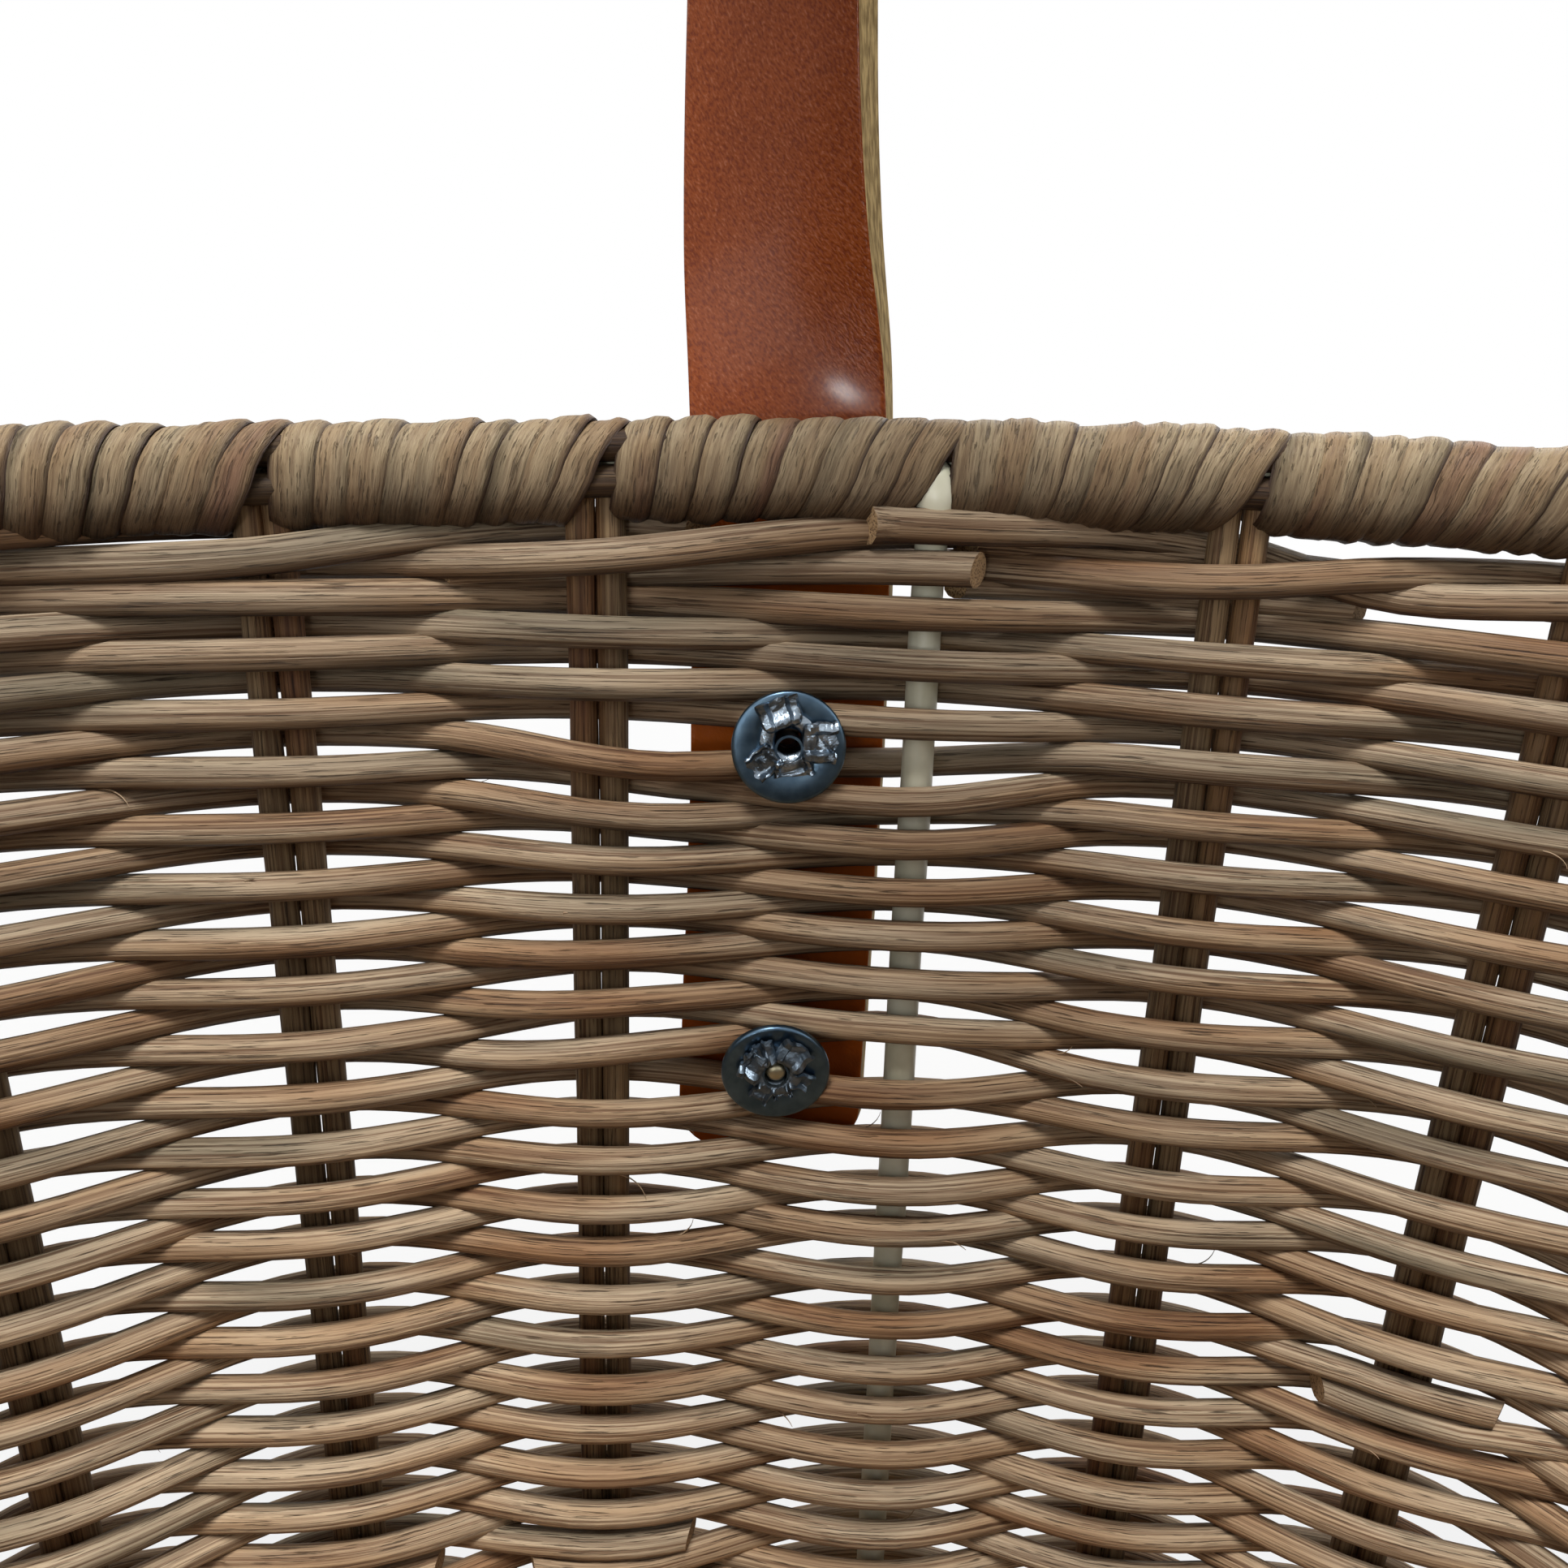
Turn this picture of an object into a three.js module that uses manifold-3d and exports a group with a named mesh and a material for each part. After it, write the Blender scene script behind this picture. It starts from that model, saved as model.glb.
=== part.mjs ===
// Storage basket with one leather strap handle. Two rattan weavers chase each other round
// doubled rattan stakes, on a welded steel wire frame. Wrapped rattan binds the rim, and a
// leather strap riveted to the middle of both long walls arches over the opening.
// Millimetres, +Z up, the origin on the floor under the middle. X runs along the basket.

import * as THREE from 'three';
import { mergeVertices } from 'three/addons/utils/BufferGeometryUtils.js';
import Module from 'manifold-3d';

const wasm = await Module();
wasm.setup();

// Overall form
const basketHeight = 182; // floor to rim top
const rimHalfLength = 158; // middle of the wall at the rim, along X
const rimHalfWidth = 130; // the same along Y
const planExponent = 2.6; // 2 is an ellipse, larger is squarer
const wallLean = THREE.MathUtils.degToRad(9.3); // the walls flare outwards going up
const fitGap = 0.3; // clearance between neighbouring pieces

// Stakes and frame wire
const stakeCount = 24;
const steelEvery = 6; // every sixth upright is a wire of the frame
const rodDiameter = 3.5; // one rattan rod of a doubled stake
const wireDiameter = 4;

// Weavers
const weaverHeight = 2.7;
const weaverThickness = 3;
const rowPitch = 3.48; // along the wall
const topRowDrop = 14.6; // rim middle down to the first row on the rear wall

// Rim and foot
const rimHeight = 12;
const rimThickness = 10;
const rimRoof = 1.1; // rattan over the top ring
const footHeight = 7;
const footThickness = 11;
const footFloor = 1.9; // rattan under the bottom ring
const baseThickness = 4.5;
const baseLift = 2; // the base mat hangs clear of the floor

// Strap handle
const strapWidth = 25;
const strapThickness = 3;
const strapEndDrop = 90.6; // rim middle down to the end of the leather
const strapCorner = 6;
const hingeDrop = 4; // rim middle down to the level at which the leather flexes
const handleRise = 150; // flexing level up to the top of the arch
const handleSwing = THREE.MathUtils.degToRad(60); // to either side
const strapStandOff = 1; // from the rim to the leather's inner face
const strapPress = 6; // how far above the upper rivet the leather still lies on the weave
const legSpread = 27; // pull on the arch's curve, which bows the legs outwards above the rim
const strapTwist = THREE.MathUtils.degToRad(45); // the leather's turn where it is most
const twistRise = 60; // flexing level up to there

// Tubular rivets and their washers
const rivetDrops = [31.1, 74.9]; // rim middle down to each rivet
const shankDiameter = 3.5;
const rivetBore = 2.2;
const rivetHeadDiameter = 10;
const rivetHeadHeight = 1.6;
const clinchDiameter = 6.6;
const clinchHeight = 1.2;
const washerDiameter = 14;
const washerThickness = 1;

const rimMiddle = basketHeight - rimHeight / 2;
const wallToFoot = (rimMiddle - footHeight) / Math.cos(wallLean);
const turnsPerWeaver = Math.floor((wallToFoot - topRowDrop - weaverHeight) / (2 * rowPitch));
const ringSteps = 2 * stakeCount;
const rodSpacing = rodDiameter + 0.1;
const stakeHalfWidth = (rodSpacing + rodDiameter) / 2;

const finish = (color, roughness, metalness = 0) =>
  new THREE.MeshStandardMaterial({ color, roughness, metalness });
const rattan = finish('#a8793f', 0.6);
const rattanDark = finish('#8f5f30', 0.65);
const creamSteel = finish('#d9d3b6', 0.4);
const leather = finish('#96491f', 0.45);
const zinc = finish('#9aa0a6', 0.35, 1);

// The outline of the wall's middle at the rim, a superellipse that starts behind and runs clockwise.
class RimPlan extends THREE.Curve {
  getPoint(t, target = new THREE.Vector3()) {
    const angle = 2 * Math.PI * t;
    const power = 2 / planExponent;
    const bow = (value) => Math.sign(value) * Math.abs(value) ** power;
    return target.set(rimHalfLength * bow(Math.sin(angle)), rimHalfWidth * bow(Math.cos(angle)), 0);
  }

  outwardAt(point) {
    const slope = (value, half) =>
      Math.sign(value) * Math.abs(value / half) ** (planExponent - 1) / half;
    return new THREE.Vector3(slope(point.x, rimHalfLength), slope(point.y, rimHalfWidth), 0).normalize();
  }
}

const plan = new RimPlan();
plan.arcLengthDivisions = 2400;

// A point of the plan, moved outwards by a level distance, at a height.
function planPoint(turn, outward, height) {
  const point = plan.getPointAt(THREE.MathUtils.euclideanModulo(turn, 1));
  return point.addScaledVector(plan.outwardAt(point), outward).setZ(height);
}

// A point of the leaning wall: along is up its slope from the rim middle, out is square to it.
function wallPoint(turn, along, out = 0) {
  const outward = along * Math.sin(wallLean) + out * Math.cos(wallLean);
  const height = rimMiddle + along * Math.cos(wallLean) - out * Math.sin(wallLean);
  return planPoint(turn, outward, height);
}

const alongAtHeight = (height) => (height - rimMiddle) / Math.cos(wallLean);
const stakeTurn = (stake) => (stake + 0.5) / stakeCount;

function signedVolume(geometry) {
  const position = geometry.attributes.position;
  const [a, b, c] = [new THREE.Vector3(), new THREE.Vector3(), new THREE.Vector3()];
  let volume = 0;
  for (let i = 0; i < geometry.index.count; i += 3) {
    [a, b, c].forEach((corner, n) => corner.fromBufferAttribute(position, geometry.index.getX(i + n)));
    volume += a.dot(b.cross(c)) / 6;
  }
  return volume;
}

// Skins a row of equal rings into one closed body. Open rows get end caps.
function loft(rings, { closed = false } = {}) {
  const sides = rings[0].length;
  const spans = closed ? rings.length : rings.length - 1;
  const index = [];
  for (let r = 0; r < spans; r++) {
    const here = r * sides;
    const next = ((r + 1) % rings.length) * sides;
    for (let s = 0; s < sides; s++) {
      const t = (s + 1) % sides;
      index.push(here + s, here + t, next + t, here + s, next + t, next + s);
    }
  }
  if (!closed) {
    const last = (rings.length - 1) * sides;
    for (let s = 1; s < sides - 1; s++) {
      index.push(0, s + 1, s, last, last + s, last + s + 1);
    }
  }
  const geometry = new THREE.BufferGeometry().setFromPoints(rings.flat());
  geometry.setIndex(index);
  if (signedVolume(geometry) < 0) {
    geometry.setIndex(index.map((_, i) => index[i - (i % 3) + 2 - (i % 3)]));
  }
  geometry.computeVertexNormals();
  return geometry;
}

function circle(diameter, sides) {
  const points = [];
  for (let s = 0; s < sides; s++) {
    const angle = (2 * Math.PI * s) / sides;
    points.push([(diameter / 2) * Math.cos(angle), (diameter / 2) * Math.sin(angle)]);
  }
  return points;
}

// A profile of (out, along) points carried round the leaning wall.
function wallRing(profile) {
  const rings = [];
  for (let step = 0; step < ringSteps; step++) {
    rings.push(profile.map(([out, along]) => wallPoint(step / ringSteps, along, out)));
  }
  return loft(rings, { closed: true });
}

// A profile of (outward, height) points carried round the foot, upright.
const footInset = -(rimMiddle - footHeight) * Math.tan(wallLean);
function footRing(profile) {
  const rings = [];
  for (let step = 0; step < ringSteps; step++) {
    rings.push(profile.map(([out, height]) => planPoint(step / ringSteps, footInset + out, height)));
  }
  return loft(rings, { closed: true });
}

const part = new THREE.Group();
function add(name, geometry, material, parent = part) {
  const mesh = new THREE.Mesh(geometry, material);
  mesh.name = name;
  parent.add(mesh);
  return mesh;
}

// Rim: wrapped rattan with a channel from below, where the top ring and the stake ends sit.
const channelHalf = wireDiameter / 2 + fitGap;
const rimInside = rimHeight / 2 - rimRoof;
const topRingAlong = rimInside - fitGap - wireDiameter / 2;
function rimBinding() {
  const half = rimThickness / 2;
  const up = rimHeight / 2;
  return wallRing([
    [-channelHalf, -up], [-half * 0.72, -up], [-half, -up * 0.66], [-half, up * 0.66],
    [-half * 0.6, up], [half * 0.6, up], [half, up * 0.66], [half, -up * 0.66],
    [half * 0.72, -up], [channelHalf, -up], [channelHalf, rimInside], [-channelHalf, rimInside],
  ]);
}
add('rim_binding', rimBinding(), rattanDark);
const topRing = circle(wireDiameter, 6).map(([out, along]) => [out, along + topRingAlong]);
add('frame_top_ring', wallRing(topRing), creamSteel);

// Foot: a border that the basket stands on, with the bottom ring in its channel.
function footBorder() {
  const half = footThickness / 2;
  const shoulder = footHeight - 2;
  return footRing([
    [-half, 0], [half, 0], [half, shoulder], [half * 0.7, footHeight], [channelHalf, footHeight],
    [channelHalf, footFloor], [-channelHalf, footFloor], [-channelHalf, footHeight],
    [-half * 0.7, footHeight], [-half, shoulder],
  ]);
}
const bottomRingHeight = footFloor + fitGap + wireDiameter / 2;
add('foot_border', footBorder(), rattanDark);
const bottomRing = circle(wireDiameter, 6).map(([out, height]) => [out, height + bottomRingHeight]);
add('frame_bottom_ring', footRing(bottomRing), creamSteel);

// Base mat, a plate that fills the foot border.
function baseMat() {
  const edge = footInset - footThickness / 2 - fitGap;
  const rings = [baseLift, baseLift + baseThickness].map((height) => {
    const ring = [];
    for (let step = 0; step < ringSteps; step++) {
      ring.push(planPoint(step / ringSteps, edge, height));
    }
    return ring;
  });
  return loft(rings);
}
add('base_mat', baseMat(), rattan);

// Stakes stand between the two rings. A section is (sideways, out) points.
const stakeTop = topRingAlong - wireDiameter / 2 - fitGap;
const stakeBottom = alongAtHeight(bottomRingHeight + wireDiameter / 2 + 2 * fitGap);
function upright(stake, section) {
  const turn = stakeTurn(stake);
  const outward = plan.outwardAt(planPoint(turn, 0, 0));
  const sideways = new THREE.Vector3(outward.y, -outward.x, 0);
  const rings = [stakeBottom, stakeTop].map((along) =>
    section.map(([side, out]) => wallPoint(turn, along, out).addScaledVector(sideways, side)));
  return loft(rings);
}
function doubledRods() {
  const rod = rodDiameter / 2;
  const axis = rodSpacing / 2;
  const waist = rod * 0.5;
  return [
    [0, -waist], [axis, -rod], [stakeHalfWidth, 0], [axis, rod],
    [0, waist], [-axis, rod], [-stakeHalfWidth, 0], [-axis, -rod],
  ];
}
for (let stake = 0; stake < stakeCount; stake++) {
  const label = String(stake + 1).padStart(2, '0');
  if (stake % steelEvery === 0) {
    add(`frame_upright_${label}`, upright(stake, circle(wireDiameter, 8)), creamSteel);
  } else {
    add(`stake_${label}`, upright(stake, doubledRods()), rattan);
  }
}

// Rows lie evenly down the wall, and part round the rivet shanks at the strap.
const shankClear = shankDiameter / 2 + fitGap + weaverHeight / 2;
const lastRow = 2 * turnsPerWeaver;
const [rowsToUpper, rowsToLower] = rivetDrops.map((drop) => Math.floor((drop - topRowDrop) / rowPitch) + 1);
function evenRow(row) {
  return -topRowDrop - row * rowPitch;
}
function partedRow(row) {
  const [upper, lower] = rivetDrops.map((drop) => -drop);
  const nearest = Math.round(row);
  if (nearest < rowsToUpper) {
    return upper + shankClear + (rowsToUpper - 1 - row) * rowPitch;
  }
  if (nearest >= rowsToLower) {
    const share = (row - rowsToLower) / (lastRow - rowsToLower);
    return THREE.MathUtils.lerp(lower - shankClear, evenRow(lastRow), share);
  }
  const share = (row - rowsToUpper) / (rowsToLower - 1 - rowsToUpper);
  return THREE.MathUtils.lerp(upper - shankClear, lower + shankClear, share);
}
const halfRound = stakeCount / 2;
const besideStrap = (stake) => [0, halfRound - 1].includes(stake % halfRound);

// How far out a weaver runs at a stake, so that its straight spans clear the stake's rods.
function passOffset(stake, along, side) {
  const turn = stakeTurn(stake);
  const outward = plan.outwardAt(planPoint(turn, 0, 0)).multiplyScalar(side);
  const here = wallPoint(turn, along);
  const reach = rodSpacing / 2;
  const need = rodDiameter / 2 + fitGap + weaverThickness / 2;
  const otherSide = -side * 1.25 * need; // the next crossings are a little wider than the least
  const offsets = [-1, 1].map((step) => {
    const next = wallPoint(stakeTurn(stake + step), along, otherSide).sub(here);
    const drop = next.dot(outward);
    const share = reach / Math.sqrt(next.lengthSq() - drop * drop);
    return (need - drop * share) / (1 - share);
  });
  return Math.max(...offsets);
}

// One weaver: over one stake and under the next, from the front wall round and down.
function weaver(firstRow, insideParity) {
  const rings = [];
  for (let count = 0; count < turnsPerWeaver * stakeCount; count++) {
    const stake = (halfRound + count) % stakeCount;
    const row = firstRow + (count + 0.5) / halfRound;
    const along = besideStrap(stake) ? partedRow(row) : evenRow(row);
    const side = stake % 2 === insideParity ? -1 : 1;
    const out = side * passOffset(stake, along, side);
    const turn = stakeTurn(stake);
    const [up, thick] = [weaverHeight / 2, weaverThickness / 2];
    rings.push([
      wallPoint(turn, along - up, out - thick), wallPoint(turn, along - up, out + thick),
      wallPoint(turn, along + up, out + thick), wallPoint(turn, along + up, out - thick),
    ]);
  }
  return loft(rings);
}
add('weaver_first', weaver(-1, 0), rattan);
add('weaver_second', weaver(0, 1), rattan);

// Strap handle. The leather lies on the weave, stands off the rim and flexes at the hinge level.
const hingeHeight = rimMiddle - hingeDrop;
const rimOuterY = wallPoint(0, 0, rimThickness / 2).y + (rimHeight / 2) * Math.sin(wallLean);
const legY = rimOuterY + strapStandOff + strapThickness / 2;

// How far the weave reaches from the wall's middle, at a distance from the line of the rivets.
function weaveReach(sideways) {
  const stake = wallPoint(stakeTurn(0), -strapEndDrop);
  const crossing = passOffset(0, -strapEndDrop, 1) * (sideways / stake.x);
  return crossing + weaverThickness / 2;
}
const strapOut = weaveReach(strapWidth / 2) + fitGap + strapThickness / 2;
const washerOut = -(weaveReach(washerDiameter / 2) + fitGap + washerThickness / 2);

function solid(geometry) {
  const bare = geometry.clone();
  bare.deleteAttribute('normal');
  bare.deleteAttribute('uv');
  const merged = mergeVertices(bare, 1e-5);
  return new wasm.Manifold(new wasm.Mesh({
    numProp: 3,
    vertProperties: new Float32Array(merged.attributes.position.array),
    triVerts: new Uint32Array(merged.index.array),
  }));
}

function geometryOf(manifold) {
  const mesh = manifold.getMesh();
  const geometry = new THREE.BufferGeometry();
  geometry.setAttribute('position', new THREE.BufferAttribute(mesh.vertProperties, 3));
  geometry.setIndex(new THREE.BufferAttribute(mesh.triVerts, 1));
  geometry.computeVertexNormals();
  return geometry;
}

// A strap along a path of (y, z) points, with a half width and a twist at each.
function strapAlong(path) {
  const corners = [[-1, -1], [1, -1], [1, 1], [-1, 1]];
  const rings = path.map(({ y, z, half, twist = 0 }, i) => {
    const before = path[Math.max(i - 1, 0)];
    const after = path[Math.min(i + 1, path.length - 1)];
    const heading = new THREE.Vector3(0, after.y - before.y, after.z - before.z).normalize();
    const across = new THREE.Vector3(1, 0, 0).applyAxisAngle(heading, -twist);
    const outward = across.clone().cross(heading).negate();
    return corners.map(([wide, thick]) => new THREE.Vector3(0, y, z)
      .addScaledVector(across, wide * half).addScaledVector(outward, thick * strapThickness / 2));
  });
  return loft(rings);
}

// The riveted end, with a hollow for the flexing end of the arch.
function strapEnd() {
  const path = [];
  const wallAt = (along, half) => {
    const { y, z } = wallPoint(0, along, strapOut);
    path.push({ y, z, half });
  };
  for (const step of [0, 0.17, 0.5, 1]) {
    const rise = strapCorner * step;
    const inset = strapCorner - Math.sqrt(strapCorner ** 2 - (strapCorner - rise) ** 2);
    wallAt(-strapEndDrop + rise, strapWidth / 2 - inset * 0.8);
  }
  wallAt(-rivetDrops[1], strapWidth / 2);
  wallAt(-rivetDrops[0], strapWidth / 2);
  wallAt(-rivetDrops[0] + strapPress, strapWidth / 2);
  const shoulder = (strapWidth / 2) * Math.sin(handleSwing); // the swinging leather clears it
  path.push({ y: legY, z: hingeHeight - shoulder, half: strapWidth / 2 });
  let body = solid(strapAlong(path));
  const cutter = (radius, sides, lean, { y, z }) => {
    const cylinder = new THREE.CylinderGeometry(radius, radius, 8 * strapThickness, sides);
    return solid(cylinder.rotateX(-lean).translate(0, y, z));
  };
  body = body.subtract(cutter(strapWidth / 2 + fitGap, 48, 0, { y: legY, z: hingeHeight }));
  for (const drop of rivetDrops) {
    const hole = cutter(shankDiameter / 2 + fitGap, 12, wallLean, wallPoint(0, -drop, strapOut));
    body = body.subtract(hole);
  }
  return geometryOf(body);
}

// The leather of each leg turns its edge on one side inwards, and lies flat again at the top.
function twistAt(climb, length) {
  const peak = twistRise / length;
  const share = climb < peak ? climb / peak : (1 - climb) / (1 - peak);
  return strapTwist * THREE.MathUtils.smoothstep(share, 0, 1);
}

// The arch from one flexing end to the other.
function strapArch() {
  const half = strapWidth / 2;
  const side = [];
  for (const degrees of [76, 60, 42, 21]) {
    const angle = THREE.MathUtils.degToRad(degrees);
    side.push({ y: legY, z: hingeHeight - half * Math.sin(angle), half: half * Math.cos(angle) });
  }
  const top = hingeHeight + handleRise;
  const bend = new THREE.CubicBezierCurve(
    new THREE.Vector2(legY, hingeHeight), new THREE.Vector2(legY + legSpread, hingeHeight + 0.66 * handleRise),
    new THREE.Vector2(0.76 * legY, top), new THREE.Vector2(0, top),
  );
  const steps = 20;
  bend.getSpacedPoints(steps).forEach(({ x, y }, step) => {
    side.push({ y: x, z: y, half, twist: twistAt(step / steps, bend.getLength()) });
  });
  const other = side.slice(0, -1).reverse().map((point) => ({ ...point, y: -point.y }));
  return strapAlong([...side, ...other]);
}
add('strap_handle', strapArch(), leather);

function washer() {
  const [inner, outer, half] = [shankDiameter / 2 + fitGap, washerDiameter / 2, washerThickness / 2];
  const profile = [[inner, -half], [outer, -half], [outer, half], [inner, half], [inner, -half]];
  return new THREE.LatheGeometry(profile.map(([r, h]) => new THREE.Vector2(r, h)), 16);
}

// A tubular rivet: domed head outside, its split end rolled over the washer inside.
function rivet() {
  const shank = shankDiameter / 2;
  const seat = washerOut - washerThickness / 2 - fitGap;
  const underHead = strapOut + strapThickness / 2 + fitGap;
  const [head, clinch, bore] = [rivetHeadDiameter / 2, clinchDiameter / 2, rivetBore / 2];
  const profile = [
    [0, seat + 5], [bore, seat + 5], [bore, seat - clinchHeight * 0.7], [clinch * 0.7, seat - clinchHeight],
    [clinch, seat - clinchHeight * 0.5], [clinch * 0.9, seat], [shank, seat], [shank, underHead],
    [head, underHead], [head * 0.85, underHead + rivetHeadHeight * 0.6], [0, underHead + rivetHeadHeight],
  ];
  return new THREE.LatheGeometry(profile.map(([r, h]) => new THREE.Vector2(r, h)), 12);
}

// The rear wall's fixings, and the same turned half round for the front wall.
for (const [place, turned] of [['rear', 0], ['front', Math.PI]]) {
  const group = new THREE.Group();
  group.rotation.z = turned;
  part.add(group);
  add(`strap_end_${place}`, strapEnd(), leather, group);
  rivetDrops.forEach((drop, i) => {
    const level = ['upper', 'lower'][i];
    const seat = wallPoint(0, -drop);
    for (const [name, geometry, out] of [['rivet', rivet(), 0], ['washer', washer(), washerOut]]) {
      const fixing = add(`${name}_${place}_${level}`, geometry, zinc, group);
      fixing.position.copy(out ? wallPoint(0, -drop, out) : seat);
      fixing.rotation.x = -wallLean;
    }
  });
}

export default part;
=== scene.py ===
# %% [markdown]
# # A rattan storage basket with a riveted leather strap
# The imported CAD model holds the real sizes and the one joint. This lesson gives every visible
# surface its real form and finish: round rattan rods woven in pairs, a rim bound with flat peel,
# a leather strap, split rivets clinched over washers, and painted frame wire.
# Lengths below are millimetres, as a maker would say them, and one factor turns them to metres.

# %% The frame
import math

import bmesh
import bpy
import numpy as np
from mathutils import Matrix, Vector


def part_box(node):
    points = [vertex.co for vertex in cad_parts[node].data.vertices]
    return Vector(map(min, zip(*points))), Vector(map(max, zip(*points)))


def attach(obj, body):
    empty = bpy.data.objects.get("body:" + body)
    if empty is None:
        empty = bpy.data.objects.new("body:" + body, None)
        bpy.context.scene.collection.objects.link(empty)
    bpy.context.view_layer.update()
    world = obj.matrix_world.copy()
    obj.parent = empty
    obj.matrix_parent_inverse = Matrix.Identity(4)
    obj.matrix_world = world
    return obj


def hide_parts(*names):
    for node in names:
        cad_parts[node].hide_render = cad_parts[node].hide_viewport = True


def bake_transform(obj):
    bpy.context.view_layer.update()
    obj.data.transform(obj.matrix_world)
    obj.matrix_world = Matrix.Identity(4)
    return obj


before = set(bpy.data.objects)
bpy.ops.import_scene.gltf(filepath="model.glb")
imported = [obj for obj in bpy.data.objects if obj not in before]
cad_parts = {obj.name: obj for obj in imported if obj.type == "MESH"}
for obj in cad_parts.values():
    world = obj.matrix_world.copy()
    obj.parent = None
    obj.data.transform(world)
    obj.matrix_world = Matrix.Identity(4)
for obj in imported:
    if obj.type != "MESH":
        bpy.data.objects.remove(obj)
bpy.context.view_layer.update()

MM = 0.001
print("CAD nodes", len(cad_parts))

# %% [markdown]
# ## The wall as a surface
# Every rod of the basket is placed on one leaning wall, so the wall comes first. Its plan at the
# rim is a superellipse, an outline between an ellipse and a rectangle. A place on the wall has a
# turn, from 0 to 1 clockwise round the basket from the middle of the rear wall, a distance along
# the slope from the rim's middle, up as positive, and a distance out, square to the slope.

# %% Sizes of the wall
STAKES = 24
HALF_LENGTH = 158.0
HALF_WIDTH = 130.0
PLAN_POWER = 2.6
LEAN = math.radians(9.3)
RIM_HEIGHT = 12.0
RIM_THICKNESS = 10.0
RIM_MIDDLE = 176.0
UP = np.array([0.0, 0.0, 1.0])


def bow(value, power=PLAN_POWER):
    """The sine or cosine of a superellipse instead of a circle."""
    return np.sign(value) * np.abs(value) ** (2 / power)


plan_angle = np.linspace(0, 2 * math.pi, 9601)
plan_x = HALF_LENGTH * bow(np.sin(plan_angle))
plan_y = HALF_WIDTH * bow(np.cos(plan_angle))
plan_run = np.concatenate([[0], np.cumsum(np.hypot(np.diff(plan_x), np.diff(plan_y)))])
PERIMETER = plan_run[-1]


def outward_at(turn):
    """Plan points and the level directions that face out of the basket there."""
    run = np.mod(turn, 1) * PERIMETER
    x = np.interp(run, plan_run, plan_x)
    y = np.interp(run, plan_run, plan_y)
    slope_x = np.sign(x) * np.abs(x / HALF_LENGTH) ** (PLAN_POWER - 1) / HALF_LENGTH
    slope_y = np.sign(y) * np.abs(y / HALF_WIDTH) ** (PLAN_POWER - 1) / HALF_WIDTH
    size = np.hypot(slope_x, slope_y)
    return x, y, slope_x / size, slope_y / size


def level_point(turn, outward, height):
    """A point moved level outwards from the plan, at a height."""
    x, y, across_x, across_y = outward_at(turn)
    flat = np.zeros_like(x * outward * height)
    return np.stack([x + across_x * outward, y + across_y * outward, flat + height], -1)


def wall_point(turn, along, out=0.0):
    """A point of the leaning wall."""
    outward = along * math.sin(LEAN) + out * math.cos(LEAN)
    return level_point(turn, outward, RIM_MIDDLE + along * math.cos(LEAN) - out * math.sin(LEAN))


_, rim_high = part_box("rim_binding")
rim_reach = wall_point(np.array([0.25]), 0.0, RIM_THICKNESS / 2)[0, 0]
print("perimeter", round(PERIMETER, 1), "mm")
print("the rim reaches", round(rim_reach, 1), "mm along X, and in CAD", round(rim_high.x / MM, 1))

# %% [markdown]
# ## Camera, floor and light
# The photograph looks from inside the basket's mouth at the rear wall, slightly down. Its place
# was worked out from where the stakes, rows and rim fall in the picture. The light is soft and
# comes from above the opening, and the world is white where the camera looks past the basket.

# %% Camera
def new_object(name, data):
    """An object in the scene, at the origin."""
    made = bpy.data.objects.new(name, data)
    bpy.context.scene.collection.objects.link(made)
    return made


PICTURE = 1932
FOCAL_PIXELS = 1497.0
EYE = Vector((-3.8, -18.1, 197.1)) * MM
YAW, PITCH, ROLL = (math.radians(angle) for angle in (2.27, 22.2, -2.07))


def camera_axes():
    """Right, up and forward of the camera, turned to +X by yaw, down by pitch, and rolled."""
    level = Vector((math.sin(YAW), math.cos(YAW), 0))
    side = Vector((math.cos(YAW), -math.sin(YAW), 0))
    forward = level * math.cos(PITCH) - Vector(UP) * math.sin(PITCH)
    over = level * math.sin(PITCH) + Vector(UP) * math.cos(PITCH)
    right = side * math.cos(ROLL) - over * math.sin(ROLL)
    top = side * math.sin(ROLL) + over * math.cos(ROLL)
    return right, top, forward


right, top, forward = camera_axes()
lens = bpy.data.cameras.new("photo_camera")
lens.sensor_width = 36
lens.lens = FOCAL_PIXELS / PICTURE * lens.sensor_width
lens.clip_start = 0.005
camera = new_object("photo_camera", lens)
camera.matrix_world = Matrix.Translation(EYE) @ Matrix((right, top, -forward)).transposed().to_4x4()
bpy.context.scene.camera = camera
bpy.context.scene.view_settings.view_transform = "Standard"
print("lens", round(lens.lens, 2), "mm")

# %% [markdown]
# ## Helpers for colours and nodes
# Every finish below is built from nodes. One function turns a written colour to the linear one
# that shaders mix, one adds a node with its settings and links, and one sets a ramp's colours.

# %% Colours and nodes
def paint(code):
    """An sRGB hex colour as linear red, green, blue and alpha."""
    parts = [int(code[place:place + 2], 16) / 255 for place in (1, 3, 5)]
    return [p / 12.92 if p <= 0.04045 else ((p + 0.055) / 1.055) ** 2.4 for p in parts] + [1.0]


def new_material(name):
    """A material, its node tree, and the Principled shader in it."""
    material = bpy.data.materials.new(name)
    material.use_nodes = True
    tree = material.node_tree
    return material, tree, tree.nodes["Principled BSDF"]


def put(node, inputs):
    """Inputs of a node: each is a value, or another node's output to link."""
    for name, value in inputs.items():
        if isinstance(value, bpy.types.NodeSocket):
            node.id_data.links.new(value, node.inputs[name])
        else:
            node.inputs[name].default_value = value


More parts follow.
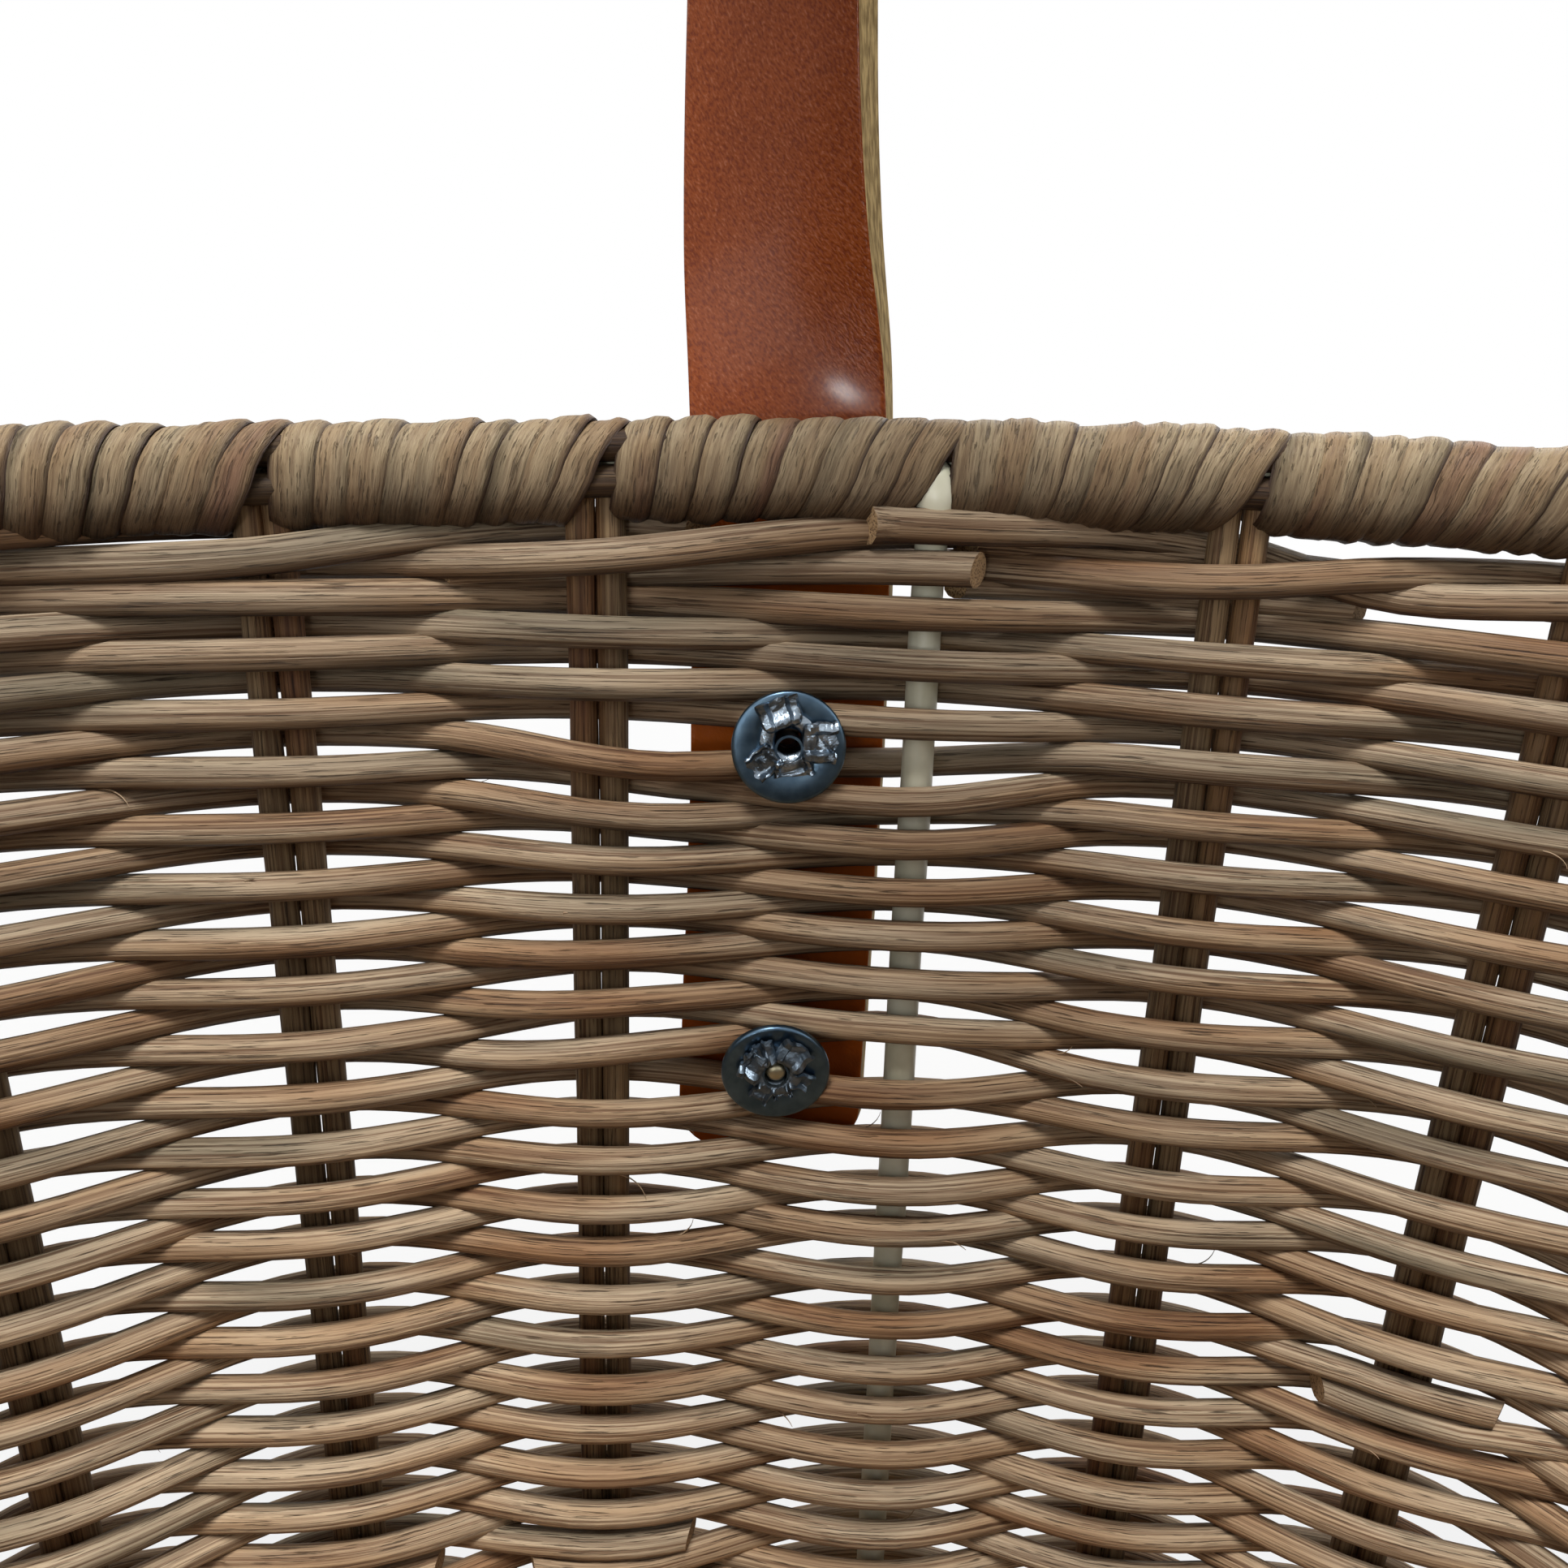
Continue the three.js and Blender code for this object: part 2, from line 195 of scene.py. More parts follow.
def add(tree, kind, inputs=None, **settings):
    """One shader node of a kind, with its settings and inputs."""
    node = tree.nodes.new("ShaderNode" + kind)
    for name, value in settings.items():
        setattr(node, name, value)
    put(node, inputs or {})
    return node


def set_ramp(node, stops):
    """Colour stops, as place and colour, on a Color Ramp."""
    stops = [(place, paint(c) if isinstance(c, str) else (c, c, c, 1)) for place, c in stops]
    elements = node.color_ramp.elements
    for element, (place, colour) in zip(elements, stops[:2]):
        element.position = place
        element.color = colour
    for place, colour in stops[2:]:
        elements.new(place).color = colour
    return node.outputs["Color"]


print("mid grey #808080 is", round(paint("#808080")[0], 3), "as a linear colour")

# %% World and lamps
def split_by_ray(tree, seen, lighting):
    """The seen shader for camera, glossy and transmitted rays, and the lighting one for the rest."""
    path = add(tree, "LightPath").outputs
    gloss = add(tree, "Math", {0: path["Is Glossy Ray"], 1: path["Is Transmission Ray"]},
                operation="MAXIMUM")
    looked = add(tree, "Math", {0: path["Is Camera Ray"], 1: gloss.outputs[0]}, operation="MAXIMUM")
    return add(tree, "MixShader", {"Fac": looked.outputs[0], 1: lighting, 2: seen})


world = bpy.data.worlds.new("studio")
world.use_nodes = True
tree = world.node_tree
tree.nodes.clear()
ambient = add(tree, "Background", {"Color": paint("#f4f6ff"), "Strength": 0.16})
backdrop = add(tree, "Background", {"Color": (1, 1, 1, 1), "Strength": 1.0})
mixed = split_by_ray(tree, backdrop.outputs[0], ambient.outputs[0])
add(tree, "OutputWorld", {"Surface": mixed.outputs[0]})
bpy.context.scene.world = world


def soft_lamp(name, place, aim, size, watts):
    """A square area lamp, in millimetres, that faces its aim."""
    lamp = bpy.data.lights.new(name, "AREA")
    lamp.size = size * MM
    lamp.energy = watts
    holder = new_object(name, lamp)
    holder.location = Vector(place) * MM
    holder.rotation_euler = (Vector(aim) - Vector(place)).to_track_quat("-Z", "Y").to_euler()


soft_lamp("key_lamp", (-150, -280, 1500), (0, 60, 120), 480, 23)
soft_lamp("rear_lamp", (350, 700, 700), (0, 0, 120), 500, 2.4)
soft_lamp("left_lamp", (-650, -650, 450), (0, 0, 120), 500, 1.6)
soft_lamp("right_lamp", (750, -250, 420), (0, 0, 120), 500, 1.2)
# A small lamp close over the front rim puts the highlight on the strap.
soft_lamp("glint_lamp", (-109, -294, 196), (9, 140, 184), 36, 0.34)
print("lamps", len(bpy.data.lights))

# %% Floor
FLOOR_HALF_SIZE = 6.0
FLOOR_DROP = 0.2 * MM
FADE_FROM, FADE_TO = 0.2, 0.8
floor_mesh = bpy.data.meshes.new("floor")
sheet = bmesh.new()
bmesh.ops.create_grid(sheet, x_segments=1, y_segments=1, size=FLOOR_HALF_SIZE)
bmesh.ops.translate(sheet, verts=sheet.verts, vec=(0, 0, -FLOOR_DROP))
sheet.to_mesh(floor_mesh)
sheet.free()
floor = new_object("floor", floor_mesh)
material, tree, shader = new_material("pale_floor")
put(shader, {"Base Color": paint("#c9c7c3"), "Roughness": 0.9})
glow = add(tree, "Emission", {"Color": (1, 1, 1, 1), "Strength": 1.0})
path = add(tree, "LightPath")
# The floor fades to full white away from the basket and keeps the shadow under it.
place = add(tree, "TexCoord").outputs["Object"]
far = add(tree, "VectorMath", {0: place}, operation="LENGTH").outputs["Value"]
fade = add(tree, "MapRange", {"Value": far, "From Min": FADE_FROM, "From Max": FADE_TO, "To Min": 0.85})
share = add(tree, "Math", {0: path.outputs["Is Camera Ray"], 1: fade.outputs[0]}, operation="MULTIPLY")
both = add(tree, "MixShader", {"Fac": share.outputs[0], 1: shader.outputs[0], 2: glow.outputs[0]})
put(tree.nodes["Material Output"], {"Surface": both.outputs[0]})
floor_mesh.materials.append(material)
print("floor", 2 * FLOOR_HALF_SIZE, "m across,", FLOOR_DROP / MM, "mm under the basket")

# %% [markdown]
# ## Helpers for bent sheets
# Rods, peel and strap are all long strips of one thickness. Each starts as a flat bmesh grid,
# whose points are then laid on the real path, so that the operator makes the faces. A rod's sheet
# rolls up until its two long edges meet, and the seam is merged. Each point also keeps its place
# in the strip's own fibre, called grain, so that the pattern follows it round every bend.

# %% Noise and curves
def wander(place, seed):
    """Smooth noise from -1 to 1, with a new value at every whole number."""
    whole = np.floor(place).astype(int)
    share = place - whole
    ease = share * share * (3 - 2 * share)
    table = np.random.default_rng(seed).uniform(-1, 1, 4096)
    return table[whole % 4096] * (1 - ease) + table[(whole + 1) % 4096] * ease


def through(place, knots, values):
    """A smooth curve through the values at the knots."""
    knots, values = np.array(knots, float), np.array(values, float)
    slopes = np.gradient(values, knots)
    span = np.clip(np.searchsorted(knots, place, side="right") - 1, 0, len(knots) - 2)
    width = knots[span + 1] - knots[span]
    t = np.clip((place - knots[span]) / width, 0, 1)
    rise = (values[span + 1] - values[span]) * t * t * (3 - 2 * t)
    bend = width * t * (1 - t) * (slopes[span] * (1 - t) - slopes[span + 1] * t)
    return values[span] + rise + bend


def unit(vectors):
    """The same directions, each one long."""
    return vectors / np.linalg.norm(vectors, axis=-1, keepdims=True)


print("noise at 0, 0.5 and 1:", wander(np.array([0, 0.5, 1]), 1).round(2))

# %% One rod
def rod(centre, radius, seed, sides=12, hint=UP, slant=0.0):
    """A rod round a centre line: points and grain, each (sides + 1, steps, 3), cut at a slant.

    A drawn rod is a little oval, a little three-sided and of uneven girth. Each is a share of the
    radius, and changes over the millimetres by which run is divided.
    """
    ahead = unit(np.gradient(centre, axis=0))
    side = unit(np.cross(ahead, hint))
    over = np.cross(side, ahead)
    run = np.concatenate([[0], np.cumsum(np.linalg.norm(np.diff(centre, axis=0), axis=1))])
    angle = np.linspace(0, 2 * math.pi, sides + 1)[:, None]
    oval = 0.045 * np.cos(2 * angle + 3 * wander(run / 60, seed)) * wander(run / 25, seed + 1)
    ridge = 0.03 * np.cos(3 * angle + 3 * wander(run / 45, seed + 2))
    girth = radius * (1 + oval + ridge + 0.05 * wander(run / 50, seed + 3)
                      + 0.02 * wander(run / 9, seed + 4))
    across, upward = girth * np.cos(angle), girth * np.sin(angle)
    points = centre + across[..., None] * side + upward[..., None] * over
    points[:, 0] += slant * across[:, :1] * ahead[0]
    points[:, -1] -= slant * across[:, -1:] * ahead[-1]
    grain = np.stack([across, upward, np.broadcast_to(run + 900 * seed, across.shape)], -1)
    return points, grain


trial_points, _ = rod(np.linspace((0, 0, 0), (100, 0, 0), 50), 2.0, 1)
print("a trial rod has points in a grid of", trial_points.shape[:2])

# %% Finished pieces
SEAM = 0.002 * MM
SHARP_FROM = math.radians(50)


def laid_mesh(name, sheets):
    """A mesh of grids laid on the sheets' points, with their grain."""
    work = bmesh.new()
    for points, _ in sheets:
        rows, steps = points.shape[:2]
        bmesh.ops.create_grid(work, x_segments=steps - 1, y_segments=rows - 1, size=1)
    mesh = bpy.data.meshes.new(name)
    work.to_mesh(mesh)
    work.free()
    places = np.concatenate([points.reshape(-1, 3) for points, _ in sheets]) * MM
    grains = np.concatenate([grain.reshape(-1, 3) for _, grain in sheets])
    mesh.vertices.foreach_set("co", places.astype(np.float32).ravel())
    mesh.attributes.new("grain", "FLOAT_VECTOR", "POINT").data.foreach_set(
        "vector", grains.astype(np.float32).ravel())
    return mesh


def piece(name, sheets, materials, nodes=(), cap=False, thickness=0.0, body="basket"):
    """A finished object from sheets: seams merged, and ends capped or a wall added.

    It rides on its body, and the last of its materials covers the cut ends.
    """
    mesh = laid_mesh(name, sheets)
    work = bmesh.new()
    work.from_mesh(mesh)
    bmesh.ops.remove_doubles(work, verts=work.verts, dist=SEAM)
    if cap:
        rims = [edge for edge in work.edges if edge.is_boundary]
        for face in bmesh.ops.holes_fill(work, edges=rims, sides=0)["faces"]:
            face.material_index = len(materials) - 1
    bmesh.ops.recalc_face_normals(work, faces=work.faces)
    if thickness:
        bmesh.ops.solidify(work, geom=work.faces, thickness=thickness * MM)
    for face in work.faces:
        face.smooth = True
    work.to_mesh(mesh)
    work.free()
    for material in materials:
        mesh.materials.append(material)
    mesh.set_sharp_from_angle(angle=SHARP_FROM)
    made = new_object(name, mesh)
    if body:
        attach(made, body)
    if nodes:
        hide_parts(*nodes)
    print(name, "triangles", sum(len(face.vertices) - 2 for face in mesh.polygons))
    return made


print("seams closer than", round(SEAM / MM, 3), "mm are merged")

# %% [markdown]
# ## Rattan
# The rods are rattan core: a climbing palm, peeled and drawn round. It has no rings or knots, only
# long fibres with open pores between them, so the colour runs in fine streaks along the rod, with
# dark pores about 0.2 mm wide and some 8 mm long. Each rod has its own tone, from straw to
# reddish and greyish brown. Peel, the skin that binds the rim, is flatter and smoother.

# %% Rattan materials
def rattan(name, tones, streak_mm, pore_depth, rough, marked=0.85, shade_range=None, pore_mm=(0.22, 8.0),
           edge_shade_half_width=None, height_light=False):
    """Rattan along its grain: tones, streaks and pores as strong as marked, and grooves as bump.

    The shade range, by the grain's height, is where painted shade begins and is darkest: the
    undersides of rods and the lower half of the rim are painted darker. Peel, which has a half width,
    is painted dark at its edges, as shade between the wraps. The height switch paints light and
    shade: the colour is lighter low on the wall and darker towards the rim.
    """
    material, tree, shader = new_material(name)
    grain = add(tree, "Attribute", attribute_name="grain").outputs["Vector"]

    def stretched(width_mm, length_mm, detail=2.0, rough_share=0.5):
        """Noise whose features are this wide and this long."""
        scale = (1 / width_mm, 1 / width_mm, 1 / length_mm)
        place = add(tree, "Mapping", {"Vector": grain, "Scale": scale})
        return add(tree, "TexNoise", {"Vector": place.outputs[0], "Scale": 1.0,
                                      "Detail": detail, "Roughness": rough_share}).outputs["Fac"]

    tone = stretched(7.0, 60.0)
    base = set_ramp(add(tree, "ValToRGB", {"Fac": tone}), list(zip((0.32, 0.68, 0.44, 0.56), tones)))
    streak = stretched(streak_mm, 45.0, 4.0, 0.62)
    dark = set_ramp(add(tree, "ValToRGB", {"Fac": streak}), [(0.36, "#80624a"), (0.58, "#ffffff")])
    streaked = add(tree, "MixRGB", {"Fac": marked, "Color1": base, "Color2": dark},
                   blend_type="MULTIPLY").outputs[0]
    pore = stretched(*pore_mm, 3.0, 0.6)
    pits = set_ramp(add(tree, "ValToRGB", {"Fac": pore}), [(0.34, "#3a2212"), (0.41, "#ffffff")])
    colour = add(tree, "MixRGB", {"Fac": marked * 0.8, "Color1": streaked, "Color2": pits},
                 blend_type="MULTIPLY").outputs[0]
    parts = add(tree, "SeparateXYZ", {"Vector": grain}).outputs
    # Painted shade: the colour darkens towards the low side, under each rod and in the rim's lower half.
    if shade_range:
        shade_amount = add(tree, "MapRange", {"Value": parts["Y"], "From Min": shade_range[0],
                                       "From Max": shade_range[1], "To Max": 0.8},
                    interpolation_type="SMOOTHSTEP").outputs[0]
        colour = add(tree, "MixRGB", {"Fac": shade_amount, "Color1": colour, "Color2": paint("#5a3a27")},
                     blend_type="MULTIPLY").outputs[0]
    # Painted shade: the peel turns near black towards its edges, where shade falls between the wraps.
    if edge_shade_half_width:
        reach = add(tree, "Math", {0: parts["X"]}, operation="ABSOLUTE").outputs[0]
        edge = add(tree, "MapRange", {"Value": reach, "From Min": edge_shade_half_width - 0.7,
                                      "From Max": edge_shade_half_width}).outputs[0]
        colour = add(tree, "MixRGB", {"Fac": edge, "Color1": colour,
                                      "Color2": paint("#2e1c12")}).outputs[0]
    # Painted light and shade: the colour is scaled up low on the wall and down towards the rim.
    if height_light:
        place = add(tree, "TexCoord").outputs["Object"]
        height = add(tree, "SeparateXYZ", {"Vector": place}).outputs["Z"]
        height_light_range = {"Value": height, "From Min": 40 * MM, "From Max": 165 * MM, "To Min": 1.3, "To Max": 0.8}
        height_light_scale = add(tree, "MapRange", height_light_range).outputs[0]
        colour = add(tree, "VectorMath", {0: colour, "Scale": height_light_scale},
                     operation="SCALE").outputs["Vector"]
    depth = add(tree, "Math", {0: streak, 1: pits, 2: 0.0}, operation="MULTIPLY_ADD").outputs[0]
    bump = add(tree, "Bump", {"Height": depth, "Strength": 1.0, "Distance": pore_depth * MM})
    put(shader, {"Base Color": colour, "Roughness": rough, "Specular IOR Level": 0.3,
                 "Normal": bump.outputs[0]})
    return material


CORE_TONES = ("#96714f", "#8b7d66", "#b09372", "#bda78a")
STAKE_TONES = ("#80593a", "#745f43", "#8f6e4a", "#967d5c")
PEEL_TONES = ("#85654d", "#786a51", "#967e5e", "#a69374")
# The core under the peel is painted near black: painted shade, where it lies in the shadow of the wraps.
CORE_SHADE_TONES = ("#3d2a19", "#35291b", "#46321e", "#4f3c26")
# Painted shade darkens the weavers' undersides and the peel's lower half; the weavers also get painted
# light by height.
weaver_rattan = rattan("rattan_core", CORE_TONES, 0.42, 0.28, 0.62, shade_range=(-0.2, -1.95), height_light=True)
stake_rattan = rattan("rattan_stake_core", STAKE_TONES, 0.36, 0.2, 0.62)
peel = rattan("rattan_peel", PEEL_TONES, 0.36, 0.32, 0.52, marked=0.55, shade_range=(-0.25, -0.95),
              pore_mm=(0.3, 4.0), edge_shade_half_width=2.95)
shaded_core_wood = rattan("rattan_under_peel", CORE_SHADE_TONES, 0.5, 0.2, 0.7)

# A cut end shows the fibres end on: dark pores about 0.3 mm apart in paler wood.
cut_end, tree, shader = new_material("rattan_cut_end")
grain = add(tree, "Attribute", attribute_name="grain").outputs["Vector"]
cells = add(tree, "TexVoronoi", {"Vector": grain, "Scale": 3.2}).outputs["Distance"]
ends = set_ramp(add(tree, "ValToRGB", {"Fac": cells}), [(0.1, "#4b3320"), (0.55, "#a98a63")])
bump = add(tree, "Bump", {"Height": cells, "Strength": 0.8, "Distance": 0.15 * MM})
put(shader, {"Base Color": ends, "Roughness": 0.85, "Normal": bump.outputs[0]})
print("rattan materials", [made.name for made in bpy.data.materials if "rattan" in made.name])

# %% [markdown]
# ## The weave
# Two weavers chase each other round the basket. At each stake one passes inside and the other
# outside, and they change places half way to the next. A rod is two or three metres long, so a
# new one is laid in beside the old where it ends, and both cut ends show inside the wall.

# %% Rows
ROW_PITCH = 3.48
TOP_ROW_DROP = 14.6
RIVET_DROPS = (31.8, 74.4)
ASIDE = 2.0
WEAVER_RADIUS = 1.9
STOUTER = 0.24
PASS_OUT = 3.75
TURNS = 22
LAST_ROW = 2 * TURNS
SHANK_CLEAR = 3.2
PARTED_WIDTH = 44
PARTED_EASE = 32
rows_to_upper, rows_to_lower = (int((drop - TOP_ROW_DROP) / ROW_PITCH) + 1 for drop in RIVET_DROPS)


def even_row(row):
    """Distance along the wall of a row that nothing pushes aside."""
    return -TOP_ROW_DROP - row * ROW_PITCH


def parted_row(row):
    """Rows beside the strap, which part round the two rivets."""
    upper, lower = (-drop for drop in RIVET_DROPS)
    above = upper + SHANK_CLEAR + (rows_to_upper - 1 - row) * ROW_PITCH
    between = np.interp(row, (rows_to_upper, rows_to_lower - 1),
                        (upper - SHANK_CLEAR, lower + SHANK_CLEAR))
    below = np.interp(row, (rows_to_lower, LAST_ROW), (lower - SHANK_CLEAR, even_row(LAST_ROW)))
    nearest = np.round(row)
    return np.where(nearest < rows_to_upper, above,
                    np.where(nearest < rows_to_lower, between, below))


def row_height(row, turn):
    """Distance along the wall of a row at a turn, with the sway of work done by hand."""
    from_strap = np.abs((np.mod(turn + 0.25, 0.5) - 0.25) * PERIMETER - ASIDE)
    near = np.clip((PARTED_WIDTH - from_strap) / PARTED_EASE, 0, 1)
    near = near * near * (3 - 2 * near)
    sway = 0.45 * wander(turn * 7 + 0.13 * row + 40, 11)
    return even_row(row) * (1 - near) + parted_row(row) * near + sway


# Stakes are set one by one: how far each stands off its even place, in millimetres clockwise.
STAKE_ASIDE = (-1.1, -4.0, -4.4, -2.4, -0.8, 0.6, -0.5, 0.9, -0.7, 0.4, 1.2, -0.6,
               0.8, -1.0, 0.5, 1.1, -0.4, -0.9, 0.7, -0.5, 0.9, -1.6, -0.4, -1.8)


def stake_turn(place):
    """The turn at a place counted in stakes, where stake 0 is the wire right of the rear strap."""
    aside = np.interp(np.mod(place, STAKES), np.arange(STAKES + 1), (*STAKE_ASIDE, STAKE_ASIDE[0]))
    return (place + 0.5) / STAKES + aside / PERIMETER


def weaver_line(passed, first_row, inside, nudge=0.0):
    """A weaver's centre line, by the count of stakes passed since the front wall's middle."""
    row = first_row + (passed + 0.5) / (STAKES / 2)
    turn = stake_turn(passed + STAKES / 2)
    along = row_height(row, turn) + nudge + 0.22 * wander(passed * 0.9 + 50, 21 + inside)
    swing = inside * np.cos(math.pi * passed)
    return wall_point(turn, along, swing * (PASS_OUT + 0.12 * wander(passed + 60, 31)))


print("rows above the rivets", rows_to_upper, "and", rows_to_lower)
print("row 1 drops by", round(float(-row_height(1, 0.1)), 1), "mm a tenth of the way round")

# %% Weavers
STEPS_PER_STAKE = 10
SPLICE_RISE = 1.9
SPLICE_HOLD = 0.2
SPLICE_EASE = 0.9
LAP_BEFORE = 0.3
LAP_AFTER = 0.32
CUT_SLANT = 0.6
STOUT_TURNS = 4


def spliced_rods(name, start, stop, splices, first_row, inside, lift, node, seed):
    """One weaver as rods laid end by end, with both cut ends of a splice inside.

    Places are counts of stakes. Lift is where the start leaves its row, and by how much. The top
    turns are stouter, and the first end is a little crushed.
    """
    sheets = []
    bounds = [start, *splices, stop]
    for count, (begin, end) in enumerate(zip(bounds, bounds[1:])):
        first = begin - (LAP_BEFORE if begin in splices else 0)
        last = end + (LAP_AFTER if end in splices else 0)
        passed = np.linspace(first, last, int((last - first) * STEPS_PER_STAKE))
        nudge = np.where(passed < lift[0][-1], through(passed, *lift), 0)
        if begin in splices:
            done = np.clip((passed - begin - SPLICE_HOLD) / SPLICE_EASE, 0, 1)
            nudge = nudge - SPLICE_RISE * (1 - done) ** 2
        if end in splices:
            left = np.clip((end - SPLICE_HOLD - passed) / SPLICE_EASE, 0, 1)
            nudge = nudge + SPLICE_RISE * (1 - left) ** 2
        centre = weaver_line(passed, first_row, inside, nudge)
        stout = WEAVER_RADIUS + STOUTER * np.clip(1 - (passed + 12) / (STOUT_TURNS * STAKES), 0, 1)
        crushed = 0.3 * np.exp(-((passed - start) / 0.05) ** 2)
        sheets.append(rod(centre, stout + crushed, seed + 10 * count, slant=CUT_SLANT))
    return piece(name, sheets, [weaver_rattan, cut_end], [node], cap=True)


# The first rod starts close under the rim, right of the strap, and comes down to its row. The
# second crosses behind it.
FIRST_LIFT = ((-13, -12, -11, -10.55, -10, -9), (3.4, 3.4, 2.2, -1.7, -0.3, 0))
SECOND_LIFT = ((-12, -11, -10.55, -10, -9, -8), (1.9, 2.0, 4.2, 5.4, 1.6, 0))
FIRST_SPLICES = (70, 136, 200, 280, 350, 424, 490)
SECOND_SPLICES = (45, 115, 189, 257, 331, 401, 467)
end_pass = TURNS * STAKES + 10
# The weavers come down two rows in a turn, so the first ends half a turn later, on the foot.
first_end = end_pass + STAKES / 2
spliced_rods("weaver_rods_first", -12.2, first_end, FIRST_SPLICES, -1, -1, FIRST_LIFT,
             "weaver_first", 100)
spliced_rods("weaver_rods_second", -12.45, end_pass, SECOND_SPLICES, 0, 1, SECOND_LIFT,
             "weaver_second", 300)

# %% [markdown]
# ## Loose ends under the rim
# Above the first full row on the rear wall lie short rods that fill the room under the rim. They
# climb and cross as their makers laid them, and two of them end in plain sight beside the strap.

# %% Filler rods
def filler(knots, seed, radius=WEAVER_RADIUS + STOUTER):
    """A short rod through knots of stake place, row, and side, from -1 inside to 1 outside."""
    places, rows, sides = zip(*knots)
    place = np.linspace(places[0], places[-1], int((places[-1] - places[0]) * 12) + 2)
    along = even_row(through(place, places, rows))
    side = through(place, places, sides)
    return rod(wall_point(stake_turn(place), along, side * PASS_OUT), radius, seed, slant=CUT_SLANT)


fillers = [
    filler([(-4.6, -0.9, 0), (-4, -1.2, 1), (-3, -2.1, -1), (-2, -2.5, 1), (-1.5, -2.3, 0.3)], 501),
    filler([(-3.6, -0.9, 0.2), (-3, -1.1, 1), (-2, -1.4, -1), (-1.5, -2.1, 0), (-1, -2.5, 1),
            (-0.7, -2.4, 0.6)], 511),
    filler([(-2.5, -0.95, 0.9), (-2, -1.05, 1), (-1, -1.42, -1), (-0.2, -2.5, -0.35),
            (0.1, -2.6, 0.5)], 521),
    filler([(-1.5, -0.6, 0.2), (-1, -0.8, 1), (-0.4, -1.2, 0), (0, -1.35, -1), (0.15, -1.35, -1)], 531),
    filler([(0.12, -2.3, 0.5), (0.45, -2.15, 1), (0.97, -1.9, 1), (1.6, -1.5, 0.5), (2, -1.4, 1)], 541),
    filler([(0.1, -0.7, 0.6), (0.45, -0.66, 1), (0.97, -0.62, 1), (1.4, -0.6, 0.6)], 551, 1.6),
]
piece("filler_rods", fillers, [weaver_rattan, cut_end], cap=True)

# %% [markdown]
# ## Stakes and frame wire
# The uprights are doubled rattan rods, apart from four of steel wire, part of the welded frame
# that keeps the basket's shape. The wire is powder coated in cream: a thick, even, slightly
# glossy skin, which runs over the weld at the top as one smooth lump.

# %% Upright rods
ROD_RADIUS = 1.75
ROD_SPACING = 3.6
WIRE_RADIUS = 2.0
STAKE_TOP = 0.5
STAKE_FOOT = -170.5
WIRE_TOP = 3.0
WIRE_INSET = 2.3


def wire_rod(centre, along, hint):
    """A smooth wire with a rounded tip, swollen by the paint over its weld."""
    weld = 0.45 * np.exp(-((along + 1.5) / 3.2) ** 2) * (1 + 0.4 * wander(along / 1.6 + 200, 17))
    tip = np.sqrt(np.clip((along[-1] + 0.05 - along) / 2.2, 0.03, 1))
    return rod(centre, (WIRE_RADIUS + weld) * tip, 0, sides=20, hint=hint)


def upright(stake, sideways, radius, seed, top=STAKE_TOP):
    """A rod that stands in the leaning wall; a wire comes inside the rim at its top."""
    along = np.concatenate([np.linspace(STAKE_FOOT, -12, 56), np.linspace(-11.4, top, 24)])
    turn = np.full_like(along, stake_turn(stake))
    _, _, out_x, out_y = outward_at(turn)
    level = np.stack([out_y, -out_x, np.zeros_like(out_x)], -1)
    hint = np.stack([out_x[0], out_y[0], 0 * out_x[0]])
    if radius == WIRE_RADIUS:
        inset = WIRE_INSET * np.clip((along + 14) / 12, 0, 1)
        return wire_rod(wall_point(turn, along, -inset), along, hint)
    bend = 0.12 * wander(along / 30 + seed, seed)[:, None]
    return rod(wall_point(turn, along) + level * (sideways + bend), radius, seed, sides=14, hint=hint)


powder_coat, tree, shader = new_material("cream_powder_coat")
place = add(tree, "TexCoord").outputs["Object"]
# Powder coating has an orange peel of about 1 mm, which softens its reflections.
skin = add(tree, "TexNoise", {"Vector": place, "Scale": 1 / MM, "Detail": 1.0})
grime = add(tree, "TexNoise", {"Vector": place, "Scale": 1 / (9 * MM), "Detail": 4.0})
cream = set_ramp(add(tree, "ValToRGB", {"Fac": grime.outputs["Fac"]}),
                 [(0.3, "#c6c4a8"), (0.6, "#e6e4cd")])
bump = add(tree, "Bump", {"Height": skin.outputs["Fac"], "Strength": 0.25, "Distance": 0.05 * MM})
put(shader, {"Base Color": cream, "Roughness": 0.33, "Normal": bump.outputs[0]})

STEEL_EVERY = 6
for stake in range(STAKES):
    label = f"{stake + 1:02d}"
    if stake % STEEL_EVERY == 0:
        wire = [upright(stake, 0, WIRE_RADIUS, 700 + stake, top=WIRE_TOP)]
        piece(f"wire_upright_{label}", wire, [powder_coat],
              [f"frame_upright_{label}"], cap=True)
    else:
        pair = [upright(stake, side * ROD_SPACING / 2, ROD_RADIUS, 700 + 2 * stake + side)
                for side in (-1, 1)]
        piece(f"stake_rods_{label}", pair, [stake_rattan, cut_end],
              [f"stake_{label}"], cap=True)
lower_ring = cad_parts["frame_bottom_ring"].data
lower_ring.materials.clear()
lower_ring.materials.append(powder_coat)

# %% [markdown]
# ## The bound rim
# Flat rattan peel is wound tightly round the rim's core. The binder skips over each stake, so the
# wraps of a bay lean more and more towards the next stake, and a dark three-cornered hole stays
# open under the last of them. The peel is one endless sheet here too: its turns are counted
# round the rim, and a formula gives the place of each turn's top and bottom.

